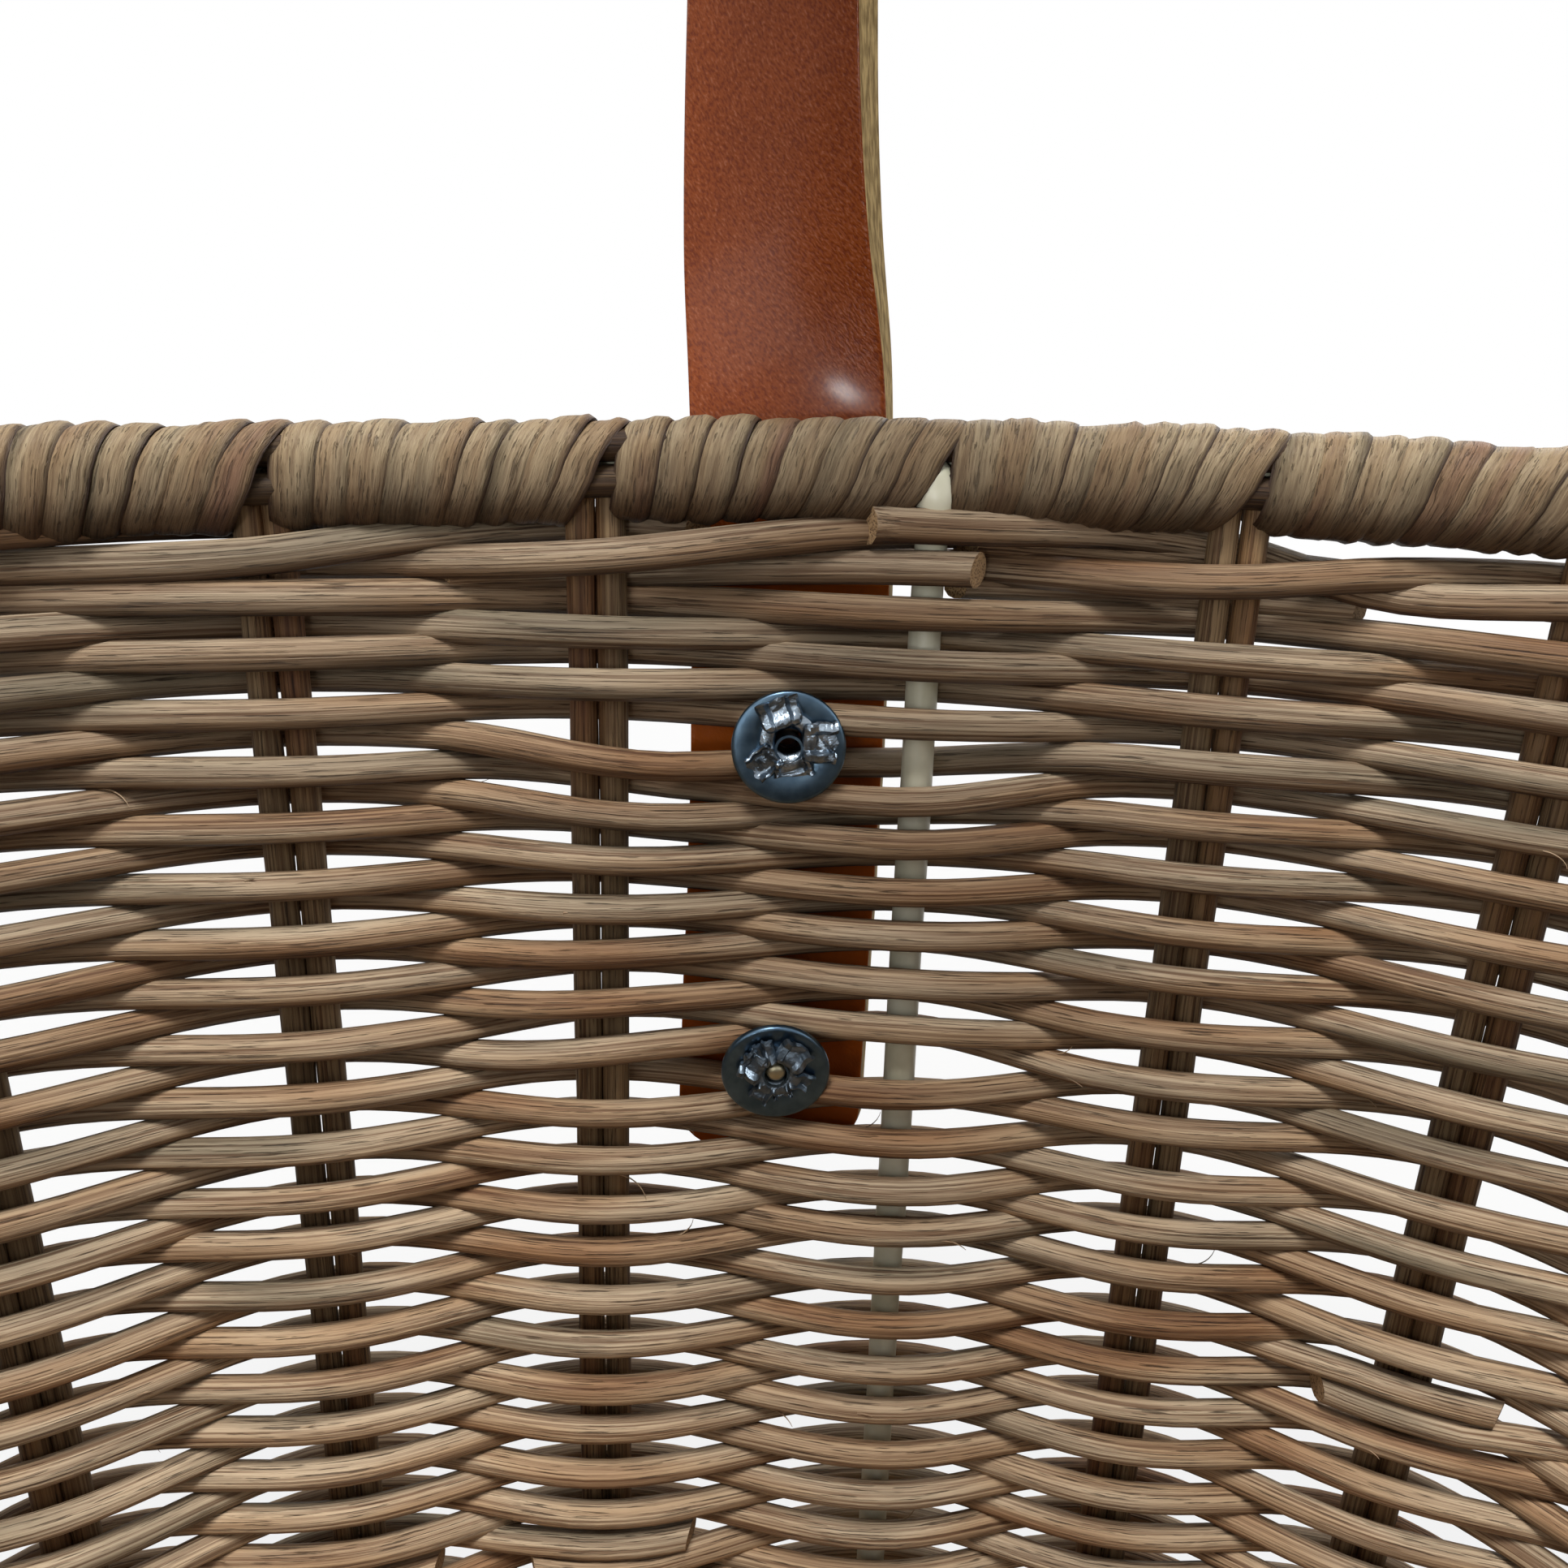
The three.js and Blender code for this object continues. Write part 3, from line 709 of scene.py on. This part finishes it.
# %% Bays and wraps
rng = np.random.default_rng(5)
wraps_in_bay = rng.choice((8, 9), size=STAKES)
WRAPS = int(wraps_in_bay.sum())
wrap_edges = np.concatenate([[0], np.cumsum(wraps_in_bay)])
bay_edges = np.arange(STAKES + 1)
TOP_SHIFT = 0.035
BOTTOM_SHIFT = 0.04
BOTTOM_HOLE = 0.14
WRAP_STEPS = 26
PEEL_WIDTH = 6.0
PEEL_SINK = 0.65
PEEL_CROWN = 0.74
PEEL_TILT = 0.34
SECTION_POWER = 2.5


def rim_sway(turn):
    """How far the rim dips or rises: the rear wall's is low on the left and high on the right."""
    knots = (-0.5, -0.3, -0.16, -0.09, -0.04, 0.0, 0.05, 0.1, 0.2, 0.35, 0.5)
    rises = (0.0, -0.5, -2.0, -1.7, -0.4, 1.0, 1.6, 1.5, 0.8, -0.4, 0.0)
    return through(np.mod(turn + 0.5, 1) - 0.5, knots, rises)


def bay_place(wrap):
    """Bay number and share of the bay at a count of wraps."""
    return np.interp(np.mod(wrap, WRAPS), wrap_edges, bay_edges)


def wrap_stake(wrap, down):
    """Place in stakes of a wrap, where down is 0 at the rim's top and 1 at its bottom."""
    bay = bay_place(wrap)
    whole = np.floor(bay)
    share = bay - whole
    top = whole + share + TOP_SHIFT
    bottom = whole + BOTTOM_SHIFT + share * (1 - BOTTOM_HOLE)
    return top * (1 - down) + bottom * down + np.floor(wrap / WRAPS) * STAKES


print("wraps", WRAPS, "in", STAKES, "bays")

# %% Rim wraps
turns_done = np.linspace(0, WRAPS, WRAPS * WRAP_STEPS + 1)
angle = 2 * math.pi * turns_done
count = WRAPS - turns_done
wrap = np.mod(count, WRAPS)
down = (1 - np.cos(angle)) / 2
middle = stake_turn(wrap_stake(count, down))
# The peel is arched and tilted, so that each turn laps the next, and no two turns lie alike.
width = PEEL_WIDTH * (1 + 0.06 * wander(wrap + 0.3, 41)) * (1 - 0.16 * down)
raised = 0.3 * wander(wrap, 42) + 0.16 * wander(wrap * 3, 43)
across = np.linspace(-1, 1, 9)[:, None]
ease_in = np.minimum(1, np.minimum(turns_done, WRAPS - turns_done) / 2)
ridges = 0.16 * wander(across * 3 + 0.9 * wrap + 20, 44)
crown = PEEL_CROWN * (1 - np.abs(across) ** 4) + (PEEL_TILT * across + raised + ridges) * ease_in
half_thick, half_high = RIM_THICKNESS / 2 - PEEL_SINK, RIM_HEIGHT / 2 - PEEL_SINK
out = -bow(np.sin(angle), SECTION_POWER) * (half_thick + crown)
turn = middle + across * width / 2 / PERIMETER
along = bow(np.cos(angle), SECTION_POWER) * (half_high + crown) + rim_sway(turn)
wrap_points = wall_point(turn, along, out)
# A turn takes 38 mm of peel, and 70 mm more are skipped, so that each has its own pattern.
wrap_run = turns_done * 38.0 + 70 * np.floor(turns_done + 0.5)
flat = np.zeros_like(turn)
# The grain's second part runs from 0 at the rim's top to -1 at its bottom, and sets the painted shade of
# the rim's lower half.
wrap_grain = np.stack([flat + across * PEEL_WIDTH / 2, flat - down, flat + wrap_run], -1)
piece("rim_wraps", [(wrap_points, wrap_grain)], [peel], ["rim_binding"], thickness=0.6)

# %% Core and ring of the rim
CORE_RODS = ((-1.2, -2.3, 2.0, 601), (-1.2, 2.3, 2.0, 611), (2.9, -2.2, 1.9, 621))
core_steps = np.linspace(0, 1, 601)
cores = [rod(wall_point(core_steps, along + rim_sway(core_steps), np.full(601, out)), radius, seed)
         for along, out, radius, seed in CORE_RODS]
# These core rods carry the painted shade of the core under the peel.
piece("rim_core_rods", cores, [shaded_core_wood], cap=True)

# The upper frame ring follows the rim's sway, so it stays covered by the peel.
RING_ALONG = 2.35
around = np.linspace(0, 2 * math.pi, 17)[:, None]
ring_turn = np.linspace(0, 1, 481)[None]
ring_along = RING_ALONG + rim_sway(ring_turn) + WIRE_RADIUS * np.cos(around)
ring_points = wall_point(ring_turn, ring_along, WIRE_RADIUS * np.sin(around))
piece("wire_ring_top", [(ring_points, 0 * ring_points)], [powder_coat],
      ["frame_top_ring"])

# %% [markdown]
# ## Splinters
# Rattan core sheds fine hairs and curls of fibre where it was drawn and bent. They are only tenths
# of a millimetre thick, but they catch the light all over the inside of the wall.

# %% Splinters
SPLINTERS = 400
splinters = []
for number in range(SPLINTERS):
    passed = rng.uniform(-11, end_pass - 2)
    weaver = int(rng.integers(0, 2))
    inside = (-1, 1)[weaver]
    spot, ahead = weaver_line(np.array([passed, passed + 0.03]), weaver - 1, inside)
    ahead = unit(ahead - spot)
    around = rng.uniform(0, 2 * math.pi)
    side = unit(np.cross(ahead, UP))
    away = side * math.cos(around) + np.cross(side, ahead) * math.sin(around)
    length = rng.uniform(1.5, 5.0)
    curl = rng.uniform(0.1, 0.75)
    share = np.linspace(0, 1, 9)[:, None]
    root = spot + away * (WEAVER_RADIUS - 0.12)
    bent = share * curl * 2.2
    lean = ahead * np.sin(bent) * length + away * (1 - np.cos(bent)) * length
    thin = 0.17 * (1 - 0.8 * share[:, 0]) * rng.uniform(0.6, 1.3)
    splinters.append(rod(root + lean, thin, number, sides=5, hint=np.array([0.3, 0.2, 1.0])))
piece("splinters", splinters, [weaver_rattan], cap=True)

# %% [markdown]
# ## Foot and base
# The photograph doesn't show them. Such a basket stands on a border plaited from four rods, which
# hides the lower frame ring, and its base is a flat mat: stiff rods along the length, and thinner
# rods woven across them.

# %% Foot border
FOOT_MIDDLE = 3.5
FOOT_IN = -27.7
FOOT_TWISTS = 34
FOOT_STRANDS = 4
PLAIT_OUT, PLAIT_UP = 3.4, 1.55
foot_steps = np.linspace(0, 1, 1361)
strands = []
for strand in range(FOOT_STRANDS):
    angle = 2 * math.pi * (FOOT_TWISTS * foot_steps + strand / FOOT_STRANDS)
    height = FOOT_MIDDLE + 0.1 + PLAIT_UP * np.sin(angle)
    line = level_point(foot_steps, FOOT_IN + PLAIT_OUT * np.cos(angle), height)
    strands.append(rod(line, 1.85, 800 + 7 * strand, sides=10))
core_line = level_point(foot_steps, np.full_like(foot_steps, FOOT_IN), np.full_like(foot_steps, 3.4))
core = rod(core_line, 2.4, 841, sides=8)
piece("foot_plait", [*strands, core], [weaver_rattan], ["foot_border"], cap=True)

# %% Base mat
BASE_MIDDLE = 4.25
TUCKED = 2.6
BASE_LENGTH, BASE_WIDTH = HALF_LENGTH + FOOT_IN - TUCKED, HALF_WIDTH + FOOT_IN - TUCKED
STIFF_PITCH = 23.5
STIFF_RADIUS = 1.1
THIN_PITCH = 2.42
THIN_RADIUS = 1.2


def reach_at(place, half_across, half_reach):
    """How far the base reaches at a place across it."""
    return half_reach * (1 - abs(place / half_across) ** PLAN_POWER) ** (1 / PLAN_POWER)


mat = []
for row in range(-3, 4):
    y = row * STIFF_PITCH
    reach = reach_at(y, BASE_WIDTH, BASE_LENGTH)
    for side in (-1.6, 1.6):
        x = np.linspace(-reach, reach, 60)
        line = np.stack([x, y + side + 0 * x, BASE_MIDDLE + 0 * x], -1)
        mat.append(rod(line, STIFF_RADIUS, 850 + 2 * row + int(side), sides=8))
for number, x in enumerate(np.arange(-BASE_LENGTH + 4, BASE_LENGTH - 3, THIN_PITCH)):
    reach = reach_at(x, BASE_LENGTH, BASE_WIDTH)
    y = np.linspace(-reach, reach, 60)
    over = np.cos(math.pi * y / STIFF_PITCH) * (-1) ** number
    line = np.stack([x + 0.12 * wander(y / 20 + 90, 900 + number), y, BASE_MIDDLE + over], -1)
    mat.append(rod(line, THIN_RADIUS, 900 + number, sides=8))
piece("base_weave", mat, [weaver_rattan], ["base_mat"], cap=True)

# %% [markdown]
# ## The strap
# The handle is one strap of saddle leather, 25 mm wide and 3 mm thick, with smooth reddish brown
# faces and raw cut edges. It lies flat outside the wall, clears the rim, and turns half towards
# the hand as it rises. One mesh runs from end to end, past the CAD joint.

# %% Strap line
STRAP_WIDTH = 25.0
STRAP_THICKNESS = 3.0
STRAP_END_DROP = 90.6
STRAP_OUT = 6.1
END_CORNER = 6.0
HANDLE_TOP = 322.0
# The rear leg's places from its end, as Y and Z: on the wall, past the rim, and up a curved arch.
wall_along = np.linspace(-STRAP_END_DROP, -18, 12)
wall_leg = wall_point(np.zeros(12), wall_along, STRAP_OUT)[:, 1:]
clear_rim = np.array([(136.2, 164.5), (140.0, 172.5), (142.4, 182.0), (144.2, 195.0)])
rise = np.linspace(0.17, 1, 24)[:, None]
corners = np.array([(138.4, 172), (165.4, 271), (105.2, HANDLE_TOP), (0, HANDLE_TOP)])
arch = sum(math.comb(3, n) * rise ** n * (1 - rise) ** (3 - n) * corners[n] for n in range(4))
leg = np.concatenate([wall_leg, clear_rim, arch])
both_legs = np.concatenate([leg, leg[-2::-1] * (-1, 1)])
knot_run = np.concatenate([[0], np.cumsum(np.linalg.norm(np.diff(both_legs, axis=0), axis=1))])
STRAP_LENGTH = knot_run[-1]
between = np.linspace(END_CORNER, STRAP_LENGTH - END_CORNER, 480)[1:-1]
run = np.concatenate([np.linspace(0, END_CORNER, 9), between,
                      np.linspace(STRAP_LENGTH - END_CORNER, STRAP_LENGTH, 9)])
line_y, line_z = (through(run, knot_run, both_legs[:, axis]) for axis in (0, 1))
print("strap length", round(STRAP_LENGTH), "mm")

# %% Leather
leather, tree, shader = new_material("saddle_leather")
grain = add(tree, "Attribute", attribute_name="grain").outputs["Vector"]
# The grain side has short creases of about 1 mm that run askew.
askew = add(tree, "Mapping", {"Vector": grain, "Rotation": (0, math.radians(38), 0)})
long_way = add(tree, "Mapping", {"Vector": askew.outputs[0], "Scale": (1 / 0.3, 1 / 2, 1 / 0.6)})
creases = add(tree, "TexNoise", {"Vector": long_way.outputs[0], "Scale": 1.0,
                                 "Detail": 3.0}).outputs["Fac"]
clouds = add(tree, "TexNoise", {"Vector": grain, "Scale": 1 / 14, "Detail": 3.0}).outputs["Fac"]
tan = set_ramp(add(tree, "ValToRGB", {"Fac": clouds}), [(0.3, "#7f3b13"), (0.7, "#8c4317")])
pressed = set_ramp(add(tree, "ValToRGB", {"Fac": creases}), [(0.36, "#d3bdb2"), (0.5, "#ffffff")])
creased = add(tree, "MixRGB", {"Fac": 1.0, "Color1": tan, "Color2": pressed}, blend_type="MULTIPLY")
# Painted highlights: the high spots of the grain are painted paler, as small glints.
glint_spots = set_ramp(add(tree, "ValToRGB", {"Fac": creases}), [(0.57, 0.0), (0.72, 0.36)])
glinted = add(tree, "MixRGB", {"Fac": glint_spots, "Color1": creased.outputs[0], "Color2": paint("#b9795a")})
# Painted light: the inner face of each leg behind the weave is painted a lighter orange, as if lit through
# the gaps.
grain_parts = add(tree, "SeparateXYZ", {"Vector": grain}).outputs
off_middle = add(tree, "Math", {0: grain_parts["Z"], 1: STRAP_LENGTH / 2},
                 operation="SUBTRACT").outputs[0]
from_middle = add(tree, "Math", {0: off_middle}, operation="ABSOLUTE").outputs[0]
hidden = add(tree, "MapRange", {"Value": from_middle, "From Min": STRAP_LENGTH / 2 - 88,
                                "From Max": STRAP_LENGTH / 2 - 78}).outputs[0]
inner = add(tree, "Math", {0: grain_parts["Y"], 1: 0.0}, operation="LESS_THAN").outputs[0]
lit_inner = add(tree, "Math", {0: hidden, 1: inner}, operation="MULTIPLY").outputs[0]
toned = add(tree, "MixRGB", {"Fac": lit_inner, "Color1": glinted.outputs[0], "Color2": paint("#c0601c")})
bump = add(tree, "Bump", {"Height": creases, "Strength": 0.8, "Distance": 0.13 * MM})
put(shader, {"Base Color": toned.outputs[0], "Roughness": 0.17, "Specular IOR Level": 0.12,
             "Coat Weight": 0.15, "Coat Roughness": 0.14, "Normal": bump.outputs[0]})

# A cut edge is undyed and matt, with the fibres of the hide.
raw_edge, tree, shader = new_material("raw_leather_edge")
grain = add(tree, "Attribute", attribute_name="grain").outputs["Vector"]
fibres = add(tree, "Mapping", {"Vector": grain, "Scale": (1 / 0.5, 1 / 0.35, 1 / 2.2)})
fibre = add(tree, "TexNoise", {"Vector": fibres.outputs[0], "Scale": 1.0, "Detail": 4.0}).outputs["Fac"]
khaki = set_ramp(add(tree, "ValToRGB", {"Fac": fibre}), [(0.35, "#836c42"), (0.65, "#cbb07a")])
bump = add(tree, "Bump", {"Height": fibre, "Strength": 0.8, "Distance": 0.2 * MM})
put(shader, {"Base Color": khaki, "Roughness": 0.8, "Normal": bump.outputs[0]})
print("strap materials", leather.name, "and", raw_edge.name)

# %% Strap
aside_knots = (0, 88, 98, 122, 170, STRAP_LENGTH / 2, STRAP_LENGTH)
aside = through(run, aside_knots, (1.7, 2.3, 1.9, -0.3, -1.7, 0, 0))
line = np.stack([aside, line_y, line_z], -1)
from_end = np.minimum(run, STRAP_LENGTH - run)
# The last knot lies past the middle, so that the turn eases out there.
twist_knots = (0, 80, 97, 122, 150, 240, STRAP_LENGTH / 2, STRAP_LENGTH - 240)
twist = np.radians(through(from_end, twist_knots, (0, 0, 6.5, 28, 41, 28, 0, 28)))
ahead = unit(np.gradient(line, axis=0))
inward = unit(np.cross((1, 0, 0), ahead)) * -1
level = np.broadcast_to((1.0, 0, 0), ahead.shape)
broad = level * np.cos(twist)[:, None] - inward * np.sin(twist)[:, None]
thick = np.cross(ahead, broad)
inset = END_CORNER - np.sqrt(END_CORNER ** 2 - np.clip(END_CORNER - from_end, 0, None) ** 2)
half = STRAP_WIDTH / 2 - inset
# The section, as shares of half the width and half the thickness, has slightly bulging faces.
flat = np.array([-0.985, -0.95, *np.linspace(-0.88, 0.88, 9), 0.95, 0.985])
upper = [(a, 1 - 0.06 * a * a) for a in flat]
edge = [(0.997, 0.86), (1.0, 0.5), (1.002, 0.0), (1.0, -0.5), (0.997, -0.86)]
half_round = [*upper, *edge]
section = np.array([*half_round, *[(-a, -t) for a, t in half_round], upper[0]])
cut_slant = 0.46 * section[:, 1:]
across = section[:, :1] * half + cut_slant + 0.1 * wander(run / 9, 72)
depth = section[:, 1:] * (STRAP_THICKNESS / 2) * (1 + 0.03 * wander(run / 15, 73))
strap_points = line + across[..., None] * broad + depth[..., None] * thick
strap_grain = np.stack([across, depth, np.broadcast_to(run, across.shape)], -1)
strap = piece("leather_strap", [(strap_points, strap_grain)], [leather, raw_edge],
              ["strap_handle", "strap_end_rear", "strap_end_front"], cap=True, body=None)
grains = strap.data.attributes["grain"].data
for face in strap.data.polygons:
    depth_there = sum(abs(grains[v].vector.y) for v in face.vertices) / len(face.vertices)
    face.material_index = int(depth_there < 0.4 * STRAP_THICKNESS)
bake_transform(strap)

# %% [markdown]
# ## Rivets
# Each leg is held by two split rivets of zinc plated steel. Their domed heads lie outside on the
# leather. Inside, the split shank comes up through a 14 mm washer, and a hammer has folded its
# prongs down, each a short bent channel, no two alike.

# %% Zinc
def zinc_plate(name, tones, gloss, dent_mm):
    """Zinc plated steel: a bloom of some 2 mm, and hammer dents or scratches this deep."""
    material, tree, shader = new_material(name)
    place = add(tree, "TexCoord").outputs["Object"]
    bloom = add(tree, "TexNoise", {"Vector": place, "Scale": 1 / (2 * MM),
                                   "Detail": 4.0}).outputs["Fac"]
    blue = set_ramp(add(tree, "ValToRGB", {"Fac": bloom}), list(zip((0.3, 0.7), tones)))
    shine = add(tree, "MapRange", {"Value": bloom, "To Min": gloss, "To Max": gloss + 0.1})
    marks = add(tree, "TexNoise", {"Vector": place, "Scale": 1 / (0.5 * MM), "Detail": 3.0})
    bump = add(tree, "Bump", {"Height": marks.outputs["Fac"], "Strength": 0.8,
                              "Distance": dent_mm * MM})
    put(shader, {"Base Color": blue, "Metallic": 1.0, "Roughness": shine.outputs[0],
                 "Normal": bump.outputs[0]})
    return material


zinc = zinc_plate("zinc_plate", ("#44586a", "#5a6f80"), 0.26, 0.01)
# Painted light and shade: the upper rivets' prongs get a lighter zinc and the lower ones a darker, duller
# one.
shaded_prong_zinc = zinc_plate("shaded_prong_zinc", ("#3f4c57", "#7c8893"), 0.36, 0.12)
lit_zinc = zinc_plate("lit_prong_zinc", ("#4d5964", "#a3b0bc"), 0.2, 0.14)

# A worn yellow metal shows in the hollow of one shank.
brass, tree, shader = new_material("worn_brass")
put(shader, {"Base Color": paint("#b0a98e"), "Metallic": 1.0, "Roughness": 0.4})
print("rivet metals", [made.name for made in (zinc, shaded_prong_zinc, lit_zinc, brass)])

# %% Turned and folded sheets
def lathe(profile, turns=48):
    """A sheet turned round the rivet's axis from radius and height; each (steps, turns + 1, 3)."""
    angle = np.linspace(0, 2 * math.pi, turns + 1)
    radius, height = (np.array(column)[:, None] for column in zip(*profile))
    return np.stack([radius * np.cos(angle), radius * np.sin(angle), height + 0 * angle], -1)


def prong(direction, length, width, seed):
    """A folded prong: out of the bore, over the lip and down on the washer, with raised flanges."""
    along = np.linspace(0, 1, 19)[None]
    across = np.linspace(-1, 1, 21)[:, None]
    bends = (0, 0.1, 0.22, 0.42, 1)
    ragged = 0.25 * wander(across * 2.5 + 30, seed + 3) * along ** 6
    x = through(along, bends, (2.0, 2.0, 2.3, 3.2, length)) + ragged
    rise = through(along, bends, (-2.0, 0.6, 1.2, 0.62, 0.5))
    flange = np.interp(np.abs(across), (0.55, 0.8, 0.88, 1.0), (0, 0.75, 0.8, 0.3))
    raised = flange * np.clip(along * 5 - 0.5, 0, 1)
    dent = 0.2 * wander(along * 5 + across * 2 + seed, seed) + 0.05 * wander(along * 13 + seed, seed + 1)
    taper = 0.72 + 0.28 * np.clip(along * 2.4, 0, 1) + 0.07 * wander(along * 6 + 20, seed + 2)
    y = across * (width / 2 * taper)
    cosine, sine = math.cos(math.radians(direction)), math.sin(math.radians(direction))
    return np.stack([x * cosine - y * sine, x * sine + y * cosine, rise + raised + dent + 0 * y], -1)


def on_wall(sheet, turn, along, out, facing, aside=0.0, lean=LEAN):
    """A sheet of a fastener set on the wall: its height points out for facing 1, in for -1."""
    spot = wall_point(np.array([turn]), np.array([along]), out)[0] + np.array([aside, 0, 0])
    _, _, out_x, out_y = outward_at(turn)
    normal = np.array([out_x * math.cos(lean), out_y * math.cos(lean), -math.sin(lean)]) * facing
    uphill = np.array([out_x * math.sin(lean), out_y * math.sin(lean), math.cos(lean)])
    level = np.cross(uphill, normal)
    return spot + sheet[..., :1] * level + sheet[..., 1:2] * uphill + sheet[..., 2:] * normal


def plain(points):
    """A fastener's sheet with an unused grain."""
    return points, np.zeros_like(points)


print("a prong's points", prong(0, 5.0, 4.0, 60).shape[:2])

# %% Washers and rivets
# Profiles are radius and height; a prong is its direction in degrees, its length and its width.
WASHER = [(2.4, 0.0), (6.75, 0.0), (7.0, 0.2), (7.0, 0.75), (6.8, 0.98), (6.5, 1.05), (2.6, 0.95),
          (2.4, 0.8), (2.4, 0.0)]
HEAD = [(0.0, 1.75), (1.6, 1.68), (3.2, 1.38), (4.4, 0.86), (5.0, 0.3), (5.0, 0.05), (4.8, -0.25),
        (0.0, -0.25)]
BORE = [(2.1, -3.0), (2.1, 0.2), (2.25, 0.6), (2.6, 0.75), (3.0, 0.6), (3.0, 0.2)]
SHANK = [(1.75, -13.5), (1.75, 0.0), (1.45, 0.0), (1.45, -13.5), (1.75, -13.5)]
PIN = [(0.0, 2.2), (0.7, 2.15), (1.15, 1.8), (1.3, 1.3), (1.3, -1.5), (0.0, -1.5)]
PRONGS = {
    "upper": [(110, 5.3, 4.5), (-1, 5.8, 4.4), (222, 5.9, 3.8), (-80, 4.4, 4.8)],
    "lower": [(52, 5.0, 3.9), (113, 4.9, 1.7), (157, 4.5, 3.7), (-118, 4.9, 2.7), (-75, 4.2, 2.3),
              (-22, 4.9, 2.6)],
}
DROPS = dict(zip(PRONGS, RIVET_DROPS))
METALS = {"upper": lit_zinc, "lower": shaded_prong_zinc}
# The lower washer sits aside, deeper and tilted, and both shanks stand off their washer's middle.
WASHER_ASIDE = {"upper": 0.1, "lower": -0.35}
WASHER_OUT = {"upper": -3.9, "lower": -4.25}
WASHER_LEAN = {"upper": LEAN, "lower": LEAN - math.radians(10)}
SHANK_UP = {"upper": 1.0, "lower": 0.7}


def on_washer(sheet, turn, wall_aside, place):
    """A sheet set on the inside of the wall, where the washer of this place is."""
    return on_wall(sheet, turn, -DROPS[place], WASHER_OUT[place], -1,
                   wall_aside + WASHER_ASIDE[place], WASHER_LEAN[place])


for wall, turn, wall_aside, turned in (("rear", 0.0, ASIDE, 0), ("front", 0.5, 0.0, 40)):
    for place, prongs in PRONGS.items():
        tag = f"{wall}_{place}"
        washer = on_washer(lathe(WASHER), turn, wall_aside, place)
        piece(f"washer_plate_{tag}", [plain(washer)], [zinc], [f"washer_{tag}"])
        lift = np.array([0.0, SHANK_UP[place], 0.75])
        folded = [prong(angle + turned, length, width, 60 + number)
                  for number, (angle, length, width) in enumerate(prongs)]
        clinched = [plain(on_washer(sheet + lift, turn, wall_aside, place))
                    for sheet in [*folded, lathe(BORE)]]
        piece(f"clinched_shank_{tag}", clinched, [METALS[place]], thickness=0.5)
        aside = wall_aside + WASHER_ASIDE[place]
        head = on_wall(lathe(HEAD), turn, -DROPS[place], STRAP_OUT + STRAP_THICKNESS / 2 + 0.15, 1, aside)
        shank = on_wall(lathe(SHANK), turn, -DROPS[place], STRAP_OUT + STRAP_THICKNESS / 2, 1, aside)
        piece(f"rivet_head_{tag}", [plain(head), plain(shank)], [zinc], [f"rivet_{tag}"])
pin = on_washer(lathe(PIN) + np.array([0, SHANK_UP["lower"], 0]), 0.0, ASIDE, "lower")
piece("shank_core_rear_lower", [plain(pin)], [brass])
